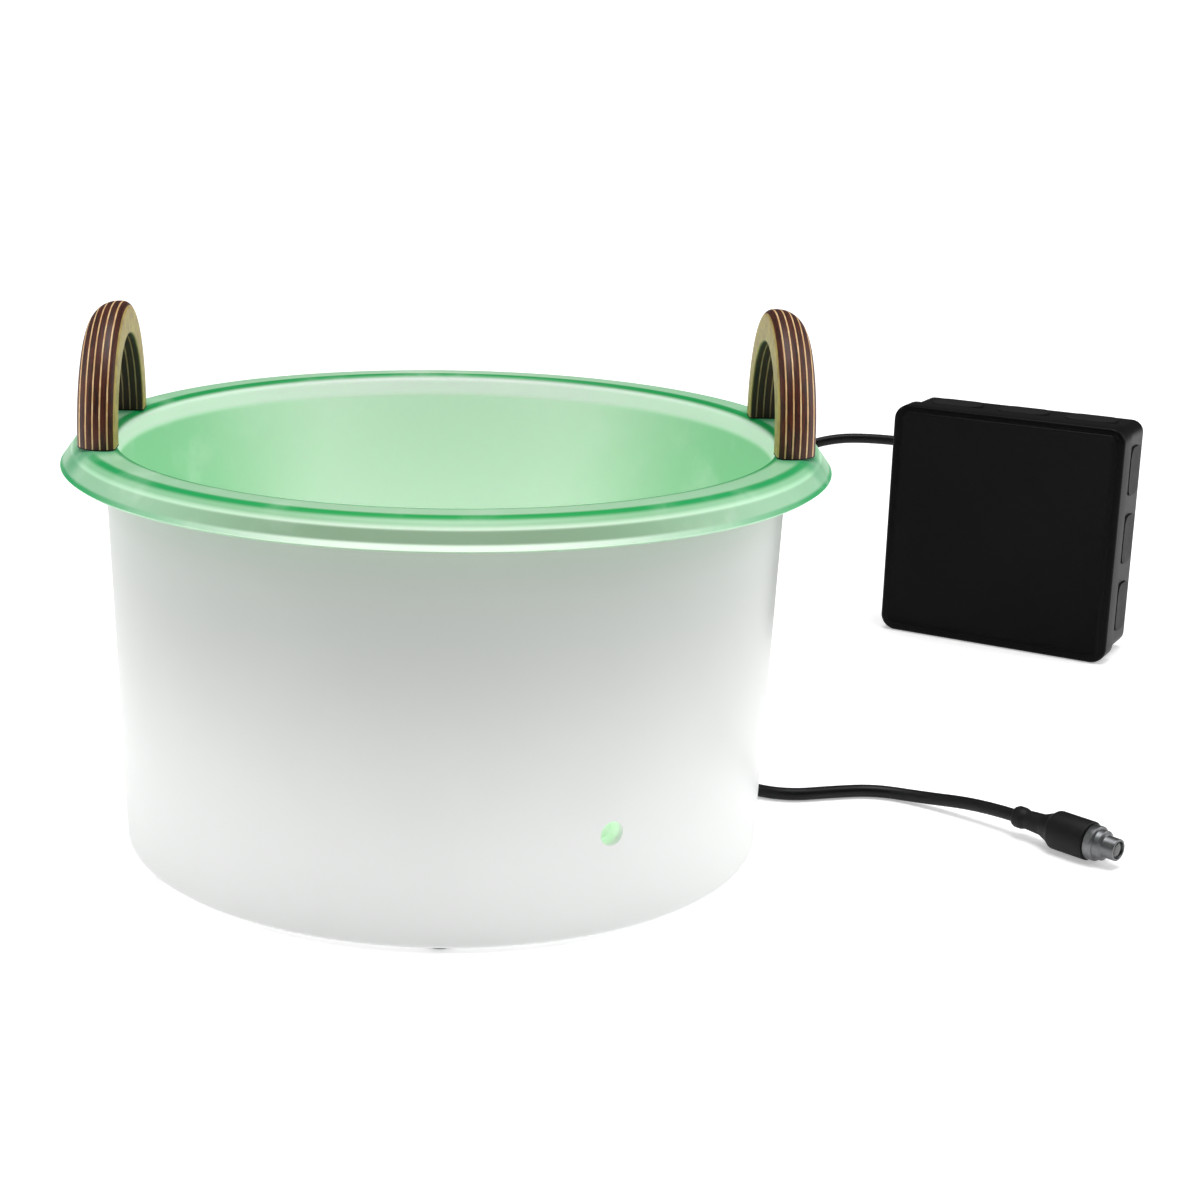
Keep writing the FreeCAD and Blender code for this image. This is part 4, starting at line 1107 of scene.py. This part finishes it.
def tie_strap():
    """Strap with rounded corners round the coil's bundle."""
    low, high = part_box("coil_tie")
    left = low.x + STRAP_INSET
    right = high.x - STRAP_INSET
    top = high.z - STRAP_INSET
    bm = section(
        [
            (left, STRAP_FOOT),
            (left, top, STRAP_CORNER, 6),
            (right, top, STRAP_CORNER, 6),
            (right, STRAP_FOOT),
        ],
        closed=True,
    )
    bmesh.ops.translate(bm, vec=(0, low.y, 0), verts=bm.verts[:])
    strip = (high.y - low.y) / STRAP_STRIPS
    for _ in range(STRAP_STRIPS):
        front = max(v.co.y for v in bm.verts) - WELD
        ring = [e for e in bm.edges if min(v.co.y for v in e.verts) > front]
        extrude_by(bm, ring, (0, strip, 0))
    bmesh.ops.recalc_face_normals(bm, faces=bm.faces[:])
    bmesh.ops.solidify(bm, geom=bm.faces[:], thickness=STRAP_THICKNESS)
    bmesh.ops.recalc_face_normals(bm, faces=bm.faces[:])
    return piece("coil_tie_strap", bm, strap_finish(), "drum", ["coil_tie"])


class BuildLead(bpy.types.Operator):
    """Lead from the box to the light head, with its spare length in a tied coil"""

    bl_idname = "bath.lead"
    bl_label = "Lead"

    def execute(self, context):
        sizes = context.scene.bath_sizes
        radius = sizes.lead_diameter / 2
        head = head_matrix()
        exit_point = box_matrix() @ Vector(BOX_EXIT)
        before_boot = head @ Vector((-BEFORE_BOOT, 0, 0))
        inside_boot = head @ Vector((INSIDE_BOOT, 0, 0))
        points = [exit_point, *BOX_ROUTE, *coil_points(radius), *HEAD_ROUTE, before_boot, inside_boot]
        jacket = rubber("lead_jacket", tuple(context.scene.bath_colours.lead), 0.42)
        lead = add_object("lead", lead_curve(points, radius, jacket))
        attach(lead, "drum")
        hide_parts("lead_from_box", "lead_coil", "lead_to_head")
        pieces = [tie_strap(), "head_boot_visible", "head_barrel_visible", "head_lens_visible"]
        pieces += ["led_board", "led_chip", "head_wires"]
        return {"FINISHED"}


# ---------------------------------------------------------------- stage

# The floor reaches almost to the horizon, and lies just under the feet.
FLOOR_REACH = 200.0
FLOOR_DROP = 0.0002
FLOOR_GLOW = 0.36
ROOM_LIGHT = 0.12
OVERHEAD_LIGHT = 2.3
OVERHEAD_SPREAD = math.radians(40)
SOFTBOX_SIZE = 1.5
SOFTBOX_AIM = Vector((0.1, 0, 0.15))
SOFTBOXES = (
    ("left_softbox", Vector((-1.9, 0.1, 1.1)), 10.0),
    ("right_softbox", Vector((1.9, 0.25, 1.1)), 15.0),
)

# The camera's place, its tilt down and its roll, its lens and sensor in millimetres, and its shift.
CAMERA_PLACE = (0, -1.2817, 0.5047)
CAMERA_TILT = math.radians(15.47)
CAMERA_ROLL = math.radians(0.745)
CAMERA_LENS = 66.4
CAMERA_SENSOR = 36
CAMERA_SHIFT = (0.1297, -0.0098)


def floor_finish():
    """Plain white floor, a little cloudy, that gives a little light of its own."""
    finish = Finish("floor_white")
    cloud = finish.noise(2.0, 2.0)
    finish.shade(
        Base_Color=finish.mix(cloud, linear(250, 250, 250), linear(254, 254, 254)),
        Roughness=0.85,
        Specular_IOR_Level=0.0,
        Emission_Color=(1, 1, 1, 1),
        Emission_Strength=FLOOR_GLOW,
    )
    return finish.material


def overhead():
    """Broad light from straight above."""
    light = bpy.data.lights.new("overhead", "SUN")
    light.energy = OVERHEAD_LIGHT
    light.angle = OVERHEAD_SPREAD
    add_object("overhead", light)


def softbox(name, place, power):
    """Square area light that faces the bath."""
    light = bpy.data.lights.new(name, "AREA")
    light.size = SOFTBOX_SIZE
    light.energy = power
    lamp = add_object(name, light)
    lamp.location = place
    lamp.rotation_euler = (SOFTBOX_AIM - place).to_track_quat("-Z", "Y").to_euler()


def camera():
    """Camera in front of the bath, looking down on it a little and slightly rolled."""
    view = bpy.data.cameras.new("camera")
    view.lens = CAMERA_LENS
    view.sensor_width = CAMERA_SENSOR
    view.shift_x, view.shift_y = CAMERA_SHIFT
    view.clip_start = 0.05
    view.clip_end = 500
    holder = add_object("camera", view)
    pitch = Matrix.Rotation(math.radians(90) - CAMERA_TILT, 4, "X")
    roll = Matrix.Rotation(CAMERA_ROLL, 4, "Z")
    holder.matrix_world = Matrix.Translation(CAMERA_PLACE) @ pitch @ roll
    return holder


class BuildStage(bpy.types.Operator):
    """Pale floor, soft lights and the camera"""

    bl_idname = "bath.stage"
    bl_label = "Stage"

    def execute(self, context):
        scene = context.scene
        bm = bmesh.new()
        bmesh.ops.create_grid(bm, x_segments=1, y_segments=1, size=FLOOR_REACH)
        mesh = mesh_from("floor", bm)
        mesh.materials.append(floor_finish())
        floor = add_object("floor", mesh)
        floor.location.z = -FLOOR_DROP
        scene.world = bpy.data.worlds.new("soft_room")
        scene.world.use_nodes = True
        background = scene.world.node_tree.nodes["Background"]
        background.inputs["Color"].default_value = (1, 1, 1, 1)
        background.inputs["Strength"].default_value = ROOM_LIGHT
        for name, place, power in SOFTBOXES:
            softbox(name, place, power)
        overhead()
        scene.view_settings.view_transform = "Standard"
        scene.camera = camera()
        return {"FINISHED"}


# ---------------------------------------------------------------- panel and registration


class BathPanel(bpy.types.Panel):
    """Lists the operators in the order they are run."""

    bl_label = "Foot bath"
    bl_idname = "VIEW3D_PT_foot_bath"
    bl_space_type = "VIEW_3D"
    bl_region_type = "UI"
    bl_category = "Foot bath"

    def draw(self, context):
        for operator in OPERATORS:
            self.layout.operator(operator.bl_idname)


OPERATORS = [BuildDrum, BuildBowl, BuildHandles, BuildHead, BuildBox, BuildLead, BuildStage]
CLASSES = [BathSizes, BathColours, *OPERATORS, BathPanel]


def register():
    for cls in CLASSES:
        bpy.utils.register_class(cls)
    bpy.types.Scene.bath_sizes = PointerProperty(type=BathSizes)
    bpy.types.Scene.bath_colours = PointerProperty(type=BathColours)


def unregister():
    del bpy.types.Scene.bath_colours
    del bpy.types.Scene.bath_sizes
    for cls in reversed(CLASSES):
        bpy.utils.unregister_class(cls)


def main():
    register()
    bpy.ops.bath.drum()
    bpy.ops.bath.bowl()
    bpy.ops.bath.handles()
    bpy.ops.bath.head()
    bpy.ops.bath.box()
    bpy.ops.bath.lead()
    bpy.ops.bath.stage()


if __name__ == "__main__":
    main()
